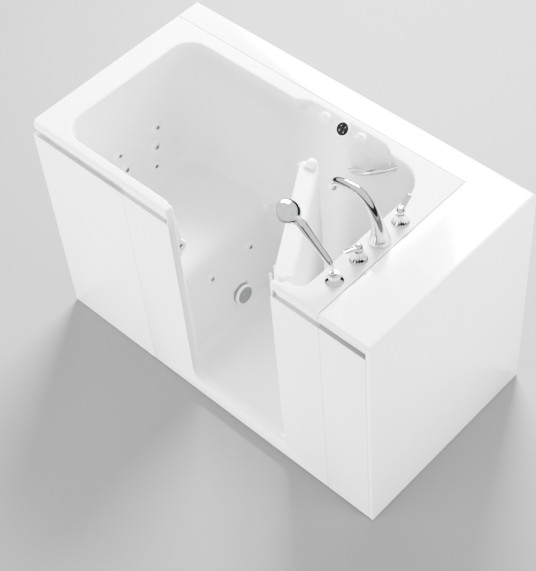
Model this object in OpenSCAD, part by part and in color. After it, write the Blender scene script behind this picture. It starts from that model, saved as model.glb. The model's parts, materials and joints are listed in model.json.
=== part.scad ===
// Walk-in bath with an inward-opening side door, a moulded seat, a deck-mounted
// bath filler with hand shower, water jets, and a levelling steel frame with its plumbing.
// The origin is on the floor under the centre of the bath. +X runs along the bath towards
// the taps, -Y faces the bather's way in, and +Z is up.

/* [Tub] */
// Length of the tub, without the deck extension
tub_l = 1320; // [1300:1:1360]
// Width of the tub, without the deck extension
tub_w = 711.5; // [700:0.5:740]
// Height of the deck above the floor
deck_h = 965; // [940:1:1000]
// Width that the deck extension adds at the tap end
side_ext = 204; // [150:1:260]
// Width that the deck extension adds along the back
back_ext = 101.5; // [60:0.5:150]
// Wall of the moulded shell
shell_t = 7; // [5:0.5:8]
// Radius along the top edge of the deck
edge_r = 12; // [6:1:14]
// Height of the lip that hangs from the front of the deck
lip_h = 32; // [26:1:40]
// Height of the dark groove under that lip
groove_h = 32; // [20:1:40]
// Depth of that groove
groove_d = 17; // [12:1:20]
// Plan radius of the deck's front corner at the left end
plan_r = 25; // [15:1:30]

/* [Basin] */
// Deck left of the basin
rim_left = 115; // [100:1:130]
// Deck in front of the basin
rim_front = 41.5; // [38:0.5:50]
// Deck behind the basin
rim_back = 58; // [54:1:70]
// Deck under the taps
tap_deck = 103; // [95:1:115]
// Plan radius of the corners at the backrest
corner_r = 85; // [60:1:100]
// Plan radius of the corner behind the taps
tap_corner_r = 110; // [80:1:120]
// Soft radius where the deck rolls into the basin
rim_roll = 16; // [8:1:18]
// How far the back wall leans in from deck to seat
back_lean = 39; // [20:1:45]
// How far the front wall leans in from deck to seat
front_lean = 23; // [15:1:28]
// Height of the seat
seat_h = 430; // [410:1:450]
// Depth of the seat, from the backrest to the riser
seat_depth = 407; // [385:1:420]
// Radius of the seat's front edge
seat_roll = 60; // [40:1:70]
// How far the riser's foot comes forward of its top
riser_lean = 50; // [30:1:60]
// Height of the foot well's floor
floor_h = 47; // [44:1:55]
// Radius of the coves round the seat and the floor
cove_r = 45; // [30:1:50]
// How far the armrest stands out from the front wall
armrest_out = 27; // [18:1:30]
// Height of the armrest's underside
armrest_h = 668; // [650:1:700]

/* [Control ledge] */
// Distance from the left end to the start of the ledge
ledge_from = 625; // [600:1:660]
// Length of the ledge along the back wall
ledge_l = 395; // [370:1:420]
// How far the ledge is let into the back rim
ledge_in = 33; // [24:1:36]
// Height of the slope from its foot to the deck
ledge_drop = 48; // [44:1:52]
// Diameter of the round key pad
pad_d = 46; // [42:1:50]
// Distance from the key pad to each air control
air_pitch = 79; // [72:1:90]
// Diameter of an air control knob
air_d = 42; // [36:1:48]

/* [Doorway] */
// Distance from the left end to the doorway
door_from = 667; // [660:1:675]
// Width of the doorway
door_w = 453; // [440:1:460]
// Height of the threshold
sill_h = 68; // [64:1:80]
// How far the doorway's frame goes in before the door
flange_d = 34.5; // [32:0.5:38]
// Radius of the doorway's lower corner at the latch side
sill_r = 55; // [30:1:60]
// Radius of the doorway's lower corner at the hinge side
sill_hinge_r = 25; // [15:1:30]

/* [Door] */
// Reach of the door from its hinge axis
door_reach = 473; // [468:1:480]
// Thickness of the door at its top
door_t_top = 64; // [56:1:66]
// Thickness of the door at its foot
door_t_low = 30; // [26:1:34]
// Wall of the door's mouldings
door_skin = 5; // [4:0.5:6]
// Thickness of the rubber seal
seal_t = 4.2; // [3:0.1:5]
// How far open the door stands, in degrees
door_open = 57.5; // [40:0.5:75]
// Distance of the hinge axis behind the doorway's frame
hinge_back = 24; // [22:0.5:26]
// Radius of the hinge pins
hinge_pin_r = 4; // [3:0.5:5]

/* [Taps] */
// Height of the spout's arch above the deck, to its centre line
spout_h = 166; // [150:1:180]
// Reach of the spout's centre line from its base
spout_reach = 184; // [170:1:195]
// Distance from the spout to each lever
tap_pitch = 100; // [95:1:105]
// Distance from the spout to the hand shower
wand_pitch = 212; // [205:1:218]
// Radius of a tap's deck flange
bell_r = 30; // [27:1:32]
// Length of the hand shower's handle
wand_l = 145; // [130:1:160]
// Lean of the hand shower's handle from upright, in degrees
wand_lean = 48; // [44:1:52]
// Diameter of the hand shower's head
head_d = 82; // [70:1:90]
// Diameter of the grab bar
bar_d = 22; // [20:1:26]
// Distance between the ends of the grab bar
bar_span = 210; // [200:1:220]
// How far the grab bar bows out from the wall
bar_bow = 27; // [24:1:40]

/* [Jets and pump] */
// Diameter of a jet's flange
jet_d = 52; // [46:1:54]
// Distance between the jets of a column
jet_pitch = 87; // [80:1:90]
// Distance between the top jets of the two columns
jet_columns = 189; // [170:1:200]
// How much closer together each lower pair of jets is
jet_taper = 36; // [20:1:45]
// Height of the top jets
jet_top_h = 675; // [670:1:690]
// Height of the jets in the riser
riser_jet_h = 318; // [300:1:330]
// Radius of the water pipes
pipe_r = 24; // [20:1:26]
// Radius of the air pipes
air_pipe_r = 9; // [7:1:10]
// Radius of the suction cover
suction_r = 43; // [38:1:48]
// Length of the pump's motor
motor_l = 200; // [170:1:230]

/* [Frame] */
// Width of the frame's square tube
tube_w = 25; // [20:1:25]
// Wall of the frame's square tube
tube_t = 2; // [1.5:0.5:3]
// Distance from the front panels' face to the frame
frame_front = 12; // [12:0.5:13]
// Distance from the bath's rear edge to the frame
frame_rear = 24; // [20:1:28]
// Radius of a levelling foot's pad
foot_r = 20; // [16:0.5:20]
// Thickness of a levelling foot's pad
foot_pad_h = 6; // [5:1:8]
// Thickness of the outer panels
panel_t = 4; // [3:0.5:6]
// Gap between neighbouring panels and deck pieces
seam = 1.2; // [0.8:0.1:2]

/* [Hidden] */
$fn = 64;
eps = 0.1;
hull_fn = 32;

// Edges of the whole bath and of the tub
x_left = -(tub_l + side_ext) / 2;
x_right = -x_left;
y_front = -(tub_w + back_ext) / 2;
y_back = -y_front;
x_tub = x_left + tub_l;
y_tub = y_front + tub_w;
lip_z = deck_h - lip_h;
panel_top = lip_z - groove_h;

// Basin at the deck, at the seat and at the floor
bx0 = x_left + rim_left;
bx1 = x_tub - tap_deck;
by0 = y_front + rim_front;
by1 = y_tub - rim_back;
sx1 = bx1 - 12;
sy0 = by0 + front_lean;
sy1 = by1 - back_lean;
riser_x = bx0 + seat_depth;
cove_top = seat_h + cove_r;
back_slope = back_lean / (deck_h - cove_top);
floor_x0 = riser_x + riser_lean;
floor_x1 = sx1 - 12;
floor_y0 = sy0 + 4;
floor_y1 = sy1 - back_slope * (cove_top - floor_h - cove_r);
lean_deg = atan(riser_lean / (cove_top - floor_h - cove_r));
basin_cy = (by0 + by1) / 2;
function riser_at(z) = riser_x + (cove_top - z) * tan(lean_deg);
function back_wall_at(z) = by1 - (deck_h - z) * back_slope;

// Doorway, hinge axis and door
jamb_l = x_left + door_from;
jamb_r = jamb_l + door_w;
flange_y = y_front + flange_d;
hinge_x = jamb_r - 6;
hinge_y = flange_y + hinge_back;
seal_gap = 0.3;
door_out = seal_t + seal_gap - hinge_back;
door_in_top = door_out + door_t_top;
door_in_low = door_out + door_t_low;
end_gap = 6;
wall_end_x = hinge_x - door_reach - end_gap;
ledge_z = sill_h - 16;
door_z0 = ledge_z + 4;
door_swell_low = 110;
door_swell_top = 430;
pocket_r = door_in_top + 2.5;
pocket_y = hinge_y - door_t_top / 2 - 2.5;
stop_lip_r = hinge_x - 10;
stop_lip_l = stop_lip_r - 12;
hinge_zs = [deck_h * 0.16, deck_h * 0.5, deck_h * 0.84];
knuckle_r = 11;
knuckle_h = 16;
hinge_gap = 0.4;
screw_r = 2;
screw_head_r = 3.5;
screw_l = 12;
notch_r = pocket_r - 1;
notch_h = 3 * knuckle_h + 10;
latch_u = door_reach - 22;
latch_v = 6;
bolt_z = armrest_h + 57;
bolt_h = 12;
bolt_t = 12;
bolt_l = 70;
bolt_throw = 14;
spindle_r = 6;
handle_h = 23;
handle_r = 18;

// Sloped ledge for the controls
ledge_x0 = x_left + ledge_from;
ledge_x1 = ledge_x0 + ledge_l;
ledge_y1 = by1 + ledge_in;
ledge_z0 = deck_h - ledge_drop;
ledge_y0 = back_wall_at(ledge_z0) - 10;
ledge_deg = atan2(ledge_drop, ledge_y1 - ledge_y0);
pad_x = ledge_x0 + ledge_l * 0.545;
pad_y = (ledge_y0 + ledge_y1) / 2;
pad_z = (ledge_z0 + deck_h) / 2;
button_r = 6;
button_ring = 12;

// Taps
tap_x = bx1 + tap_deck / 2;
spout_y = basin_cy;
wand_y = spout_y - wand_pitch;
hot_y = spout_y - tap_pitch;
cold_y = spout_y + tap_pitch;
stem_r = 11;
run_fit = 0.05;
lever_turn = 99;
elbow = 1.45;
wand_r = 13;
post_lean = 10;
post_l = 66;
post_h = 34;
neck_r = 7;

// Jets, suction and drain
jet_cy = basin_cy;
jet_bore_r = 20;
jet_wall_r = 24;
jet_places = [for (s = [1, -1], k = [0, 1, 2])
    [bx0, jet_cy + s * (jet_columns - k * jet_taper) / 2, jet_top_h - k * jet_pitch, 90]];
riser_jets = [for (s = [-1, 1])
    [riser_at(riser_jet_h), jet_cy + s * 101, riser_jet_h, 90 - lean_deg]];
jets = concat(jet_places, riser_jets);
suction_h = 145;
suction_y = jet_cy + 14;
drain_x = floor_x1 - 95;
drain_y = basin_cy;
drain_r = 24;
overflow_h = deck_h - 190;

// Frame
seam_a = jamb_l - 220;
panel_tab = 2;
panel_low = 3;
panel_screw_xs = [x_left + 62, (x_left + seam_a) / 2, seam_a - 62];
rail_z = floor_h - shell_t - 1 - tube_w;
rail_top = rail_z + tube_w;
skirt_z = panel_top - 14;
deck_low = deck_h - panel_t;
frame_x = [x_left + groove_d + shell_t + 2, x_right - panel_t - 5];
frame_y = [y_front + frame_front, y_back - frame_rear - tube_w];
waste_x = bx1 + 24;
// The pump lies under the seat: its volute at the riser side, its motor behind
pump_x = riser_x - 150;
pump_y = suction_y;
pump_z = rail_top + 92;
support_xs = [pump_x - motor_l + 33, pump_x + 16];
cross_xs = [frame_x[0], support_xs[0], support_xs[1], jamb_l + 125, drain_x - 75, frame_x[1] - tube_w];
front_post_xs = [frame_x[0], seam_a + 8, x_tub - 40];
back_post_xs = [frame_x[0], seam_a, x_tub - 20, frame_x[1] - tube_w];
foot_xs = [x_left + 60, seam_a + 26, jamb_r + 60, x_right - 60];

// ---------------------------------------------------------------- small helpers

// A box given by its lowest and highest corners
module span(lo, hi) translate(lo) cube(hi - lo);

// A thin slab with its own radius on each corner: front left, front right, back right, back left
module slab(x0, x1, y0, y1, z, r) {
    places = [[x0, y0, 1, 1], [x1, y0, -1, 1], [x1, y1, -1, -1], [x0, y1, 1, -1]];
    for (k = [0:3])
        translate([places[k][0] + places[k][2] * r[k], places[k][1] + places[k][3] * r[k], z])
            cylinder(r = r[k], h = eps, $fn = hull_fn);
}

// A straight round bar from one point to another
module rod(a, b, r) {
    d = b - a;
    translate(a)
        rotate([0, acos(d[2] / norm(d)), atan2(d[1], d[0])])
            cylinder(r = r, h = norm(d));
}

// A pipe that follows points, with a round elbow at every bend
module pipe_run(points, r) {
    for (k = [0:len(points) - 2]) rod(points[k], points[k + 1], r);
    for (k = [1:len(points) - 2]) translate(points[k]) sphere(r = r * elbow);
}

// A square tube along X, Y or Z, from its lowest corner
module square_tube(at, l, axis) {
    size = [axis == 0 ? l : tube_w, axis == 1 ? l : tube_w, axis == 2 ? l : tube_w];
    cut = [axis == 0 ? l + 2 : tube_w - 2 * tube_t, axis == 1 ? l + 2 : tube_w - 2 * tube_t,
           axis == 2 ? l + 2 : tube_w - 2 * tube_t];
    low = [axis == 0 ? -1 : tube_t, axis == 1 ? -1 : tube_t, axis == 2 ? -1 : tube_t];
    translate(at) difference() {
        cube(size);
        translate(low) cube(cut);
    }
}

// Puts children on a jet's place, with +Z along the jet's axis into the bath
module at_jet(k) translate([jets[k][0], jets[k][1], jets[k][2]]) rotate([0, jets[k][3], 0]) children();

// Puts children on the control ledge, with +Z out of its face
module at_ledge(dx) translate([pad_x + dx, pad_y, pad_z]) rotate([ledge_deg, 0, 0]) children();

// Puts children on the door: the hinge axis is the Z axis, and the shut door lies along -X
module at_door() translate([hinge_x, hinge_y, 0]) rotate([0, 0, -door_open]) children();

// ---------------------------------------------------------------- tub

// The deck block, inset by g, with its top edges rounded at the front, back and ends
module deck_block(g) {
    r = edge_r - min(g, edge_r - 2);
    x0 = x_left + g;
    x1 = x_right - g;
    y0 = y_front + g;
    y1 = y_back - g;
    top = deck_h - g;
    low = panel_top - 20;
    intersection() {
        translate([x0, 0, 0]) rotate([90, 0, 90]) linear_extrude(x1 - x0)
            union() {
                translate([y0, low]) square([y1 - y0, top - r - low]);
                translate([y0 + r, low]) square([y1 - y0 - 2 * r, top - low]);
                translate([y0 + r, top - r]) circle(r);
                translate([y1 - r, top - r]) circle(r);
            }
        translate([0, y1, 0]) rotate([90, 0, 0]) linear_extrude(y1 - y0)
            union() {
                translate([x0, low]) square([x1 - x0, top - r - low]);
                translate([x0 + r, low]) square([x1 - x0 - 2 * r, top - low]);
                translate([x0 + r, top - r]) circle(r);
                translate([x1 - r, top - r]) circle(r);
            }
    }
}

// The basin over the seat, grown by g
module seat_bowl(g) {
    r = cove_r + g;
    hull() {
        slab(bx0 - g, bx1 + g, by0 - g, by1 + g, g > 0 ? deck_h - shell_t : deck_h,
             [corner_r + g, 30 + g, tap_corner_r + g, corner_r + g]);
        for (a = [0:30:90]) {
            i = r * (1 - cos(a));
            slab(bx0 - g + i, sx1 + g - i, sy0 - g + i, sy1 + g - i, seat_h - g + r * (1 - sin(a)),
                 [corner_r + g - i, r + 8 - i, corner_r + g - i, corner_r + g - i]);
        }
    }
}

// The foot well, grown by g
module foot_bowl(g) {
    r = cove_r + g;
    c = r + 10;
    hull() {
        slab(riser_x - g, sx1 + g, sy0 - g, sy1 + g, cove_top, [c, c, c + 20, c]);
        for (a = [0:30:90]) {
            i = r * (1 - cos(a));
            slab(floor_x0 - g + i, floor_x1 + g - i, floor_y0 - g + i, floor_y1 + g - i,
                 floor_h - g + r * (1 - sin(a)), [c - i, c - i, c - i, c - i]);
        }
    }
}

// What the rounded seat edge takes off, or what backs it where g is the shell's wall
module seat_edge(g) {
    cz = seat_h - seat_roll;
    cx = riser_at(cz) - seat_roll / cos(lean_deg);
    tx = cx + seat_roll * cos(lean_deg);
    tz = cz + seat_roll * sin(lean_deg);
    y0 = sy0 + cove_r - g;
    y1 = sy1 - cove_r + g;
    translate([0, y1, 0]) rotate([90, 0, 0]) linear_extrude(y1 - y0)
        difference() {
            polygon([[cx, cz], [cx, seat_h + 1], [riser_at(seat_h) + 1, seat_h + 1],
                     [tx + 1, tz], [tx, tz]]);
            translate([cx, cz]) circle(seat_roll - g);
        }
}

// The sloped ledge in the back rim, grown by g
module control_ledge(g) hull() {
    slab(ledge_x0 - g, ledge_x1 + g, by1 - 60, ledge_y1 + g, g > 0 ? deck_h - shell_t : deck_h,
         [4, 4, 30, 30]);
    slab(ledge_x0 + 20 - g, ledge_x1 - 25 + g, by1 - 60, ledge_y0 + g, ledge_z0 - g * 0.5,
         [4, 4, 12, 12]);
}

// The doorway and the space for the shut door, grown by g
module doorway(g) {
    top = g > 0 ? deck_h - shell_t : deck_h + 1;
    y_in = sy0 + 30;
    // behind the frame: where the shut door lies
    span([wall_end_x - g, flange_y - g, ledge_z - g], [hinge_x + g, y_in, top]);
    // where the door's hinge end turns
    intersection() {
        translate([hinge_x, hinge_y, ledge_z - g]) cylinder(r = pocket_r + g, h = top - ledge_z + g);
        span([stop_lip_r - g, pocket_y - g, ledge_z - g],
             [hinge_x + pocket_r + g + 1, y_in + 40, top]);
    }
    // through the frame, with rounded lower corners
    for (part = [[jamb_l, jamb_r, y_front - 1, flange_y - shell_t],
                 [jamb_l, stop_lip_l, flange_y - shell_t - 1, flange_y + 1]])
        translate([0, g > 0 ? part[3] + g : part[3], 0]) rotate([90, 0, 0])
            linear_extrude(g > 0 ? part[3] + g - y_front - panel_t - 1 : part[3] - part[2])
                opening_outline(part[0] - g, part[1] + g, sill_h - g, top);
}

// The front view of the doorway
module opening_outline(x0, x1, z0, z1) {
    difference() {
        translate([x0, z0]) square([x1 - x0, z1 - z0]);
        translate([x0 - 1, z0 - 1]) square(sill_r + 1);
        translate([x1 - sill_hinge_r, z0 - 1]) square(sill_hinge_r + 1);
    }
    translate([x0 + sill_r, z0 + sill_r]) circle(sill_r);
    translate([x1 - sill_hinge_r, z0 + sill_hinge_r]) circle(sill_hinge_r);
}

// The armrest's section, as it stands out from the front wall, from z low to high
module armrest(g) {
    y_low = sy0 + 3;
    out = armrest_out - g;
    translate([bx0 + corner_r + 20 + g, 0, 0]) rotate([90, 0, 90])
        linear_extrude(wall_end_x - bx0 - corner_r - 20 - 2 * g)
            union() {
                polygon([[by0 - 2, deck_h - 60 - g], [y_low + out - 12, armrest_h + 50],
                         [y_low + out - 14, armrest_h + 10 + g], [by0 - 2, armrest_h + g]]);
                translate([y_low + out - 22, armrest_h + 32]) circle(22);
            }
}

// Everything inside the walls of the basin and doorway
module basin_space() {
    difference() {
        union() {
            seat_bowl(0);
            foot_bowl(0);
            seat_edge(0);
        }
        armrest(0);
    }
    control_ledge(0);
    bar_recess(0);
    doorway(0);
    hull() {
        slab(bx0 - rim_roll, bx1 + rim_roll * 0.6, by0 - 3, by1 + rim_roll * 0.6, deck_h,
             [corner_r, 33, tap_corner_r, corner_r]);
        slab(bx0 - rim_roll * 0.3, bx1 + 1, by0 - 1, by1 + 1, deck_h - rim_roll * 0.4,
             [corner_r, 31, tap_corner_r, corner_r]);
        slab(bx0, bx1, by0, by1, deck_h - rim_roll * 1.6, [corner_r, 30, tap_corner_r, corner_r]);
    }
}

// Holes through the shell for everything that is mounted in it
module shell_holes() {
    for (k = [0:7]) at_jet(k) translate([0, 0, -40]) cylinder(r = jet_wall_r + 0.5, h = 60);
    translate([riser_at(suction_h), suction_y, suction_h]) rotate([0, 90 - lean_deg, 0])
        translate([0, 0, -40]) cylinder(r = pipe_r + 6.5, h = 60);
    translate([drain_x, drain_y, floor_h - 30]) cylinder(r = drain_r + 0.5, h = 60);
    translate([sx1 - 20, basin_cy, overflow_h]) rotate([0, 90, 0]) cylinder(r = 18.5, h = 80);
    for (y = [hot_y, spout_y, cold_y]) translate([tap_x, y, deck_h - 60]) cylinder(r = 14.5, h = 80);
    at_post() translate([0, 0, -60]) cylinder(r = neck_r + 4.5, h = 100);
    for (s = [-1, 1]) at_ledge(s * air_pitch) translate([0, 0, -60]) cylinder(r = 13, h = 100);
    at_ledge(0) translate([0, 0, -60]) cylinder(r = 22, h = 100);
    for (k = [0:3]) at_suction_screw(k) translate([0, 0, -30]) cylinder(r = screw_r, h = 40);
    for (x = panel_screw_xs) translate([x, y_front, panel_top + 6]) rotate([-90, 0, 0])
        cylinder(r = screw_r, h = 40);
    for (s = [-1, 1]) at_bar() translate([s * bar_span / 2, -20, 0]) rotate([-90, 0, 0])
        cylinder(r = bar_stud_r + 0.5, h = 60);
    bracket_holes();
    strike_holes();
    translate([wall_end_x - 30, hinge_y + latch_v - bolt_t / 2 - 2, bolt_z - bolt_h / 2 - 2])
        cube([60, bolt_t + 4, bolt_h + 4]);
}

// The shelf and skirt behind the groove at the front, with wall t
module groove_skirt(x0, x1, t) {
    span([x0, y_front + 1, lip_z], [x1, y_front + groove_d + t, lip_z + t]);
    span([x0 + (t == shell_t ? groove_d : 0), y_front + groove_d, panel_top - 14],
         [x1, y_front + groove_d + t, lip_z + t]);
}

module groove_skirt_left() {
    span([x_left + 1, y_front + 1, lip_z], [x_left + groove_d + shell_t, y_tub - 1, lip_z + shell_t]);
    span([x_left + groove_d, y_front + groove_d, panel_top - 14],
         [x_left + groove_d + shell_t, y_tub - 1, lip_z + shell_t]);
}

// What the deck's round plan corner takes off, inset by g
module plan_corner(g) translate([0, 0, lip_z - 1]) linear_extrude(lip_h + 2) difference() {
    translate([x_left - 1, y_front - 1]) square(plan_r + 1);
    translate([x_left + plan_r, y_front + plan_r]) circle(plan_r - g);
}

module tub_shell() color("white") difference() {
    union() {
        // the flat deck and its hanging lip
        intersection() {
            difference() {
                deck_block(0);
                difference() {
                    deck_block(shell_t);
                    plan_corner(shell_t);
                }
            }
            span([x_left, y_front, lip_z], [x_tub - seam / 2, y_tub - seam / 2, deck_h]);
        }
        // the turned-down edges along the deck extension
        span([x_tub - seam / 2 - shell_t, y_front + 1, deck_h - 30],
             [x_tub - seam / 2, y_tub - seam / 2, deck_h - 3]);
        span([x_left + 1, y_tub - seam / 2 - shell_t, deck_h - 30],
             [x_tub - seam / 2, y_tub - seam / 2, deck_h - 3]);
        // the step in the skirt that makes the dark groove, at the front and the left
        groove_skirt(x_left + 1, x_tub - seam / 2, shell_t);
        groove_skirt_left();
        seat_bowl(shell_t);
        foot_bowl(shell_t);
        seat_edge(shell_t);
        control_ledge(shell_t);
        doorway(shell_t);
        bar_recess(shell_t);
    }
    basin_space();
    shell_holes();
    plan_corner(0);
    // nothing of the skirt or lip crosses the doorway
    span([jamb_l, y_front - 1, sill_h], [jamb_r, flange_y - shell_t - 1, deck_h + 1]);
    // the armrest and the latch wall are hollow behind their skin
    difference() {
        armrest(shell_t);
        span([wall_end_x - 40, flange_y - 10, armrest_h], [wall_end_x, by0 + 60, deck_h]);
    }
}

module deck_extension() color("white") {
    difference() {
        intersection() {
            difference() {
                deck_block(0);
                deck_block(panel_t);
            }
            span([x_left, y_front, lip_z], [x_right, y_back, deck_h]);
        }
        span([x_left - 1, y_front - 1, lip_z - 1],
             [x_tub + seam / 2, y_tub + seam / 2, deck_h + 1]);
        // the end panel closes this end
        span([x_right - 16.5, y_front - 1, lip_z - 1], [x_right + 1, y_back + 1, deck_h - edge_r]);
    }
    groove_skirt(x_tub + seam / 2, x_right - 16.5, panel_t);
}

// ---------------------------------------------------------------- outer panels

// A front panel from x0 to x1: its sides turn in towards the frame, its top runs in to the skirt
module front_panel(x0, x1) difference() {
    span([x0, y_front, panel_low], [x1, y_front + groove_d, panel_top]);
    span([x0 + panel_t, y_front + panel_t, panel_low - 1],
         [x1 - panel_t, y_front + groove_d + 1, panel_top - panel_t]);
    span([x0 - 1, y_front + frame_front - 1, panel_low - 1],
         [x1 + 1, y_front + groove_d + 1, panel_top - panel_t]);
}

// The left panel comes off: screws in the groove hold its tab to the skirt
module front_panel_left() color("white") difference() {
    union() {
        front_panel(x_left + 1, seam_a - seam / 2);
        span([x_left + 30, y_front + groove_d - panel_tab - 0.1, panel_top - panel_t],
             [seam_a - 12, y_front + groove_d - 0.1, panel_top + 12]);
    }
    for (x = panel_screw_xs) translate([x, y_front, panel_top + 6]) rotate([-90, 0, 0])
        cylinder(r = screw_r, h = 40);
}

module front_panel_right() color("white")
    front_panel(x_tub + seam / 2, x_right - 16 - seam);

module front_panel_center() color("white") difference() {
    front_panel(seam_a + seam / 2, x_tub - seam / 2);
    translate([0, y_front + groove_d + 2, 0]) rotate([90, 0, 0]) linear_extrude(groove_d + 3)
        opening_outline(jamb_l, jamb_r, sill_h - 1, deck_h);
    // room for the shell's lining of the doorway
    translate([0, y_front + groove_d + 2, 0]) rotate([90, 0, 0])
        linear_extrude(groove_d + 2 - panel_t)
            opening_outline(jamb_l - shell_t - 1, jamb_r + shell_t + 1, sill_h - shell_t - 1, deck_h);
}

module end_panel_right() color("white") difference() {
    span([x_right - 16, y_front, panel_low], [x_right, y_back, deck_h - edge_r - 0.5]);
    span([x_right - 17, y_front + panel_t, panel_low - 1],
         [x_right - panel_t, y_back - panel_t, deck_h]);
}

// One kind of screw: a shank along +Z under a low round head
module screw(head) {
    cylinder(r = screw_r, h = screw_l, $fn = 24);
    translate([0, 0, -head]) cylinder(r = screw_head_r, h = head, $fn = 24);
}

module screws() color("silver") {
    for (x = panel_screw_xs) translate([x, y_front + groove_d - panel_tab - 0.1, panel_top + 6])
        rotate([-90, 0, 0]) screw(2);
    for (z = hinge_zs, s = [-1, 1]) translate([hinge_x + pocket_r - 5.2, hinge_y, z + s * 18])
        rotate([0, 90, 0]) screw(2);
    for (k = [0:3]) at_suction_screw(k) rotate([180, 0, 0]) translate([0, 0, -4]) screw(2);
    for (s = [-1, 1]) translate([wall_end_x + 2.1, hinge_y + latch_v, bolt_z + s * 17])
        rotate([0, -90, 0]) screw(1.4);
    // the washers and nuts on the grab bar's studs, behind the wall
    for (s = [-1, 1]) at_bar() translate([s * bar_span / 2, shell_t + 0.6, 0]) rotate([-90, 0, 0])
        difference() {
            union() {
                cylinder(r = 10, h = 1.5);
                cylinder(r = 7.5, h = 8, $fn = 6);
            }
            translate([0, 0, -1]) cylinder(r = bar_stud_r + run_fit, h = 12);
        }
}

// ---------------------------------------------------------------- frame

// Rails on the feet, joined by cross rails. The rear rail leaves room for the waste pipe.
module base_frame() color("dimgray") {
    square_tube([frame_x[0], frame_y[0], rail_z], frame_x[1] - frame_x[0], 0);
    square_tube([frame_x[0], frame_y[1], rail_z], waste_x - 24 - frame_x[0], 0);
    square_tube([waste_x + 24, frame_y[1], rail_z], frame_x[1] - waste_x - 24, 0);
    for (x = cross_xs)
        square_tube([x, frame_y[0] + tube_w + 0.2, rail_z], frame_y[1] - frame_y[0] - tube_w - 0.4, 1);
}

// Posts, with rails under the edge of the deck at the left, the back and the right
module upper_frame() color("dimgray") {
    high = deck_low - tube_w - 1;
    y0 = frame_y[0] + tube_w + 0.2;
    for (x = front_post_xs)
        square_tube([x, frame_y[0], rail_top + 0.2], skirt_z - rail_top - 0.4, 2);
    square_tube([frame_x[1] - tube_w, y0, rail_top + 0.2], high - rail_top - 0.4, 2);
    for (x = back_post_xs)
        square_tube([x, frame_y[1], rail_top + 0.2], high - rail_top - 0.4, 2);
    square_tube([frame_x[0], frame_y[1], high], frame_x[1] - frame_x[0], 0);
    square_tube([frame_x[1] - tube_w, y0, high], frame_y[1] - y0 - 0.2, 1);
    square_tube([frame_x[0], frame_y[0] + tube_w + 0.2, skirt_z - tube_w - 0.2],
                frame_y[1] - frame_y[0] - tube_w - 0.4, 1);
}

module seat_supports() color("dimgray") {
    beam_y0 = y_front + 60;
    beam_l = sy1 - beam_y0;
    leg_l = seat_h - shell_t - 2 * tube_w - rail_top - 0.7;
    for (x = support_xs) {
        square_tube([x, beam_y0, seat_h - shell_t - tube_w - 0.3], beam_l, 1);
        for (y = [beam_y0 + 4, beam_y0 + beam_l - tube_w - 4])
            square_tube([x, y, rail_top + 0.2], leg_l, 2);
    }
}

module leveling_feet() color("gray")
    for (x = foot_xs, y = [frame_y[0] + tube_w / 2, frame_y[1] + tube_w / 2]) translate([x, y, 0]) {
        cylinder(r = foot_r, h = foot_pad_h);
        cylinder(r = 5, h = rail_z - 0.1);
        translate([0, 0, foot_pad_h + 1]) cylinder(r = 9, h = 5, $fn = 6);
    }

// ---------------------------------------------------------------- door

// How far the inner face stands from the hinge axis at height z
function swell(t) = t <= 0 ? 0 : t >= 1 ? 1 : (t + t * t) / 2;
function door_in(z) = door_in_low
    + (door_in_top - door_in_low) * swell((z - door_swell_low) / (door_swell_top - door_swell_low));

// The whole door as one form, inset by g
module door_form(g) intersection() {
    zs = [for (k = [0:12]) door_swell_low + (door_swell_top - door_swell_low) * k / 12];
    top_r = 14;
    translate([-door_reach - 60, 0, 0]) rotate([90, 0, 90]) linear_extrude(door_reach + 120)
        polygon(concat(
            [[door_out + g, door_z0 + g], [door_in_low - g, door_z0 + g]],
            [for (z = zs) [door_in(z) - g, z]],
            [for (a = [0:15:90]) [door_in_top - g - top_r * (1 - cos(a)),
                                  deck_h - g - top_r * (1 - sin(a))]],
            [[door_out + g, deck_h - g]]));
    translate([0, 0, door_z0 - 10]) linear_extrude(deck_h)
        union() {
            translate([-door_reach + 12 + g, door_out + g])
                square([door_reach - 12 - g, door_t_top - 2 * g]);
            translate([-door_reach + g, door_out + g + 8]) square([20, door_t_top - 2 * g - 20]);
            translate([-door_reach + 8 + g, door_out + g]) square([20, 12]);
            translate([-door_reach + 8 + g, door_out + g + 8]) circle(8);
            translate([-door_reach + 12 + g, door_in_top - g - 12]) circle(12);
            translate([0, (door_out + door_in_top) / 2]) circle(door_t_top / 2 - g);
        }
}

// The pockets in the door's hinge edge, grown by g, in which the fixed brackets turn
module hinge_notches(g) for (z = hinge_zs) intersection() {
    translate([0, 0, z - notch_h / 2 - g]) cylinder(r = notch_r + g, h = notch_h + 2 * g);
    span([-knuckle_r - 1 - g, door_out + door_skin, 0], [notch_r + 20, notch_r + 20, deck_h]);
}

module door_outer_shell() color("white") at_door() intersection() {
    door_form(0);
    span([-door_reach - 1, door_out, 0], [60, door_out + door_skin, deck_h + 1]);
}

module door_inner_shell() color("white") at_door() difference() {
    intersection() {
        door_form(0);
        span([-door_reach - 1, door_out + door_skin + 0.05, 0], [60, door_in_top + 1, deck_h + 1]);
    }
    difference() {
        door_form(door_skin);
        hinge_notches(door_skin);
    }
    hinge_notches(0);
    translate([-latch_u, latch_v, deck_h - 20]) cylinder(r = spindle_r + run_fit, h = 30);
    translate([-door_reach - 5, latch_v - bolt_t / 2 - 0.5, bolt_z - bolt_h / 2 - 0.5])
        cube([20, bolt_t + 1, bolt_h + 1]);
}

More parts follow.
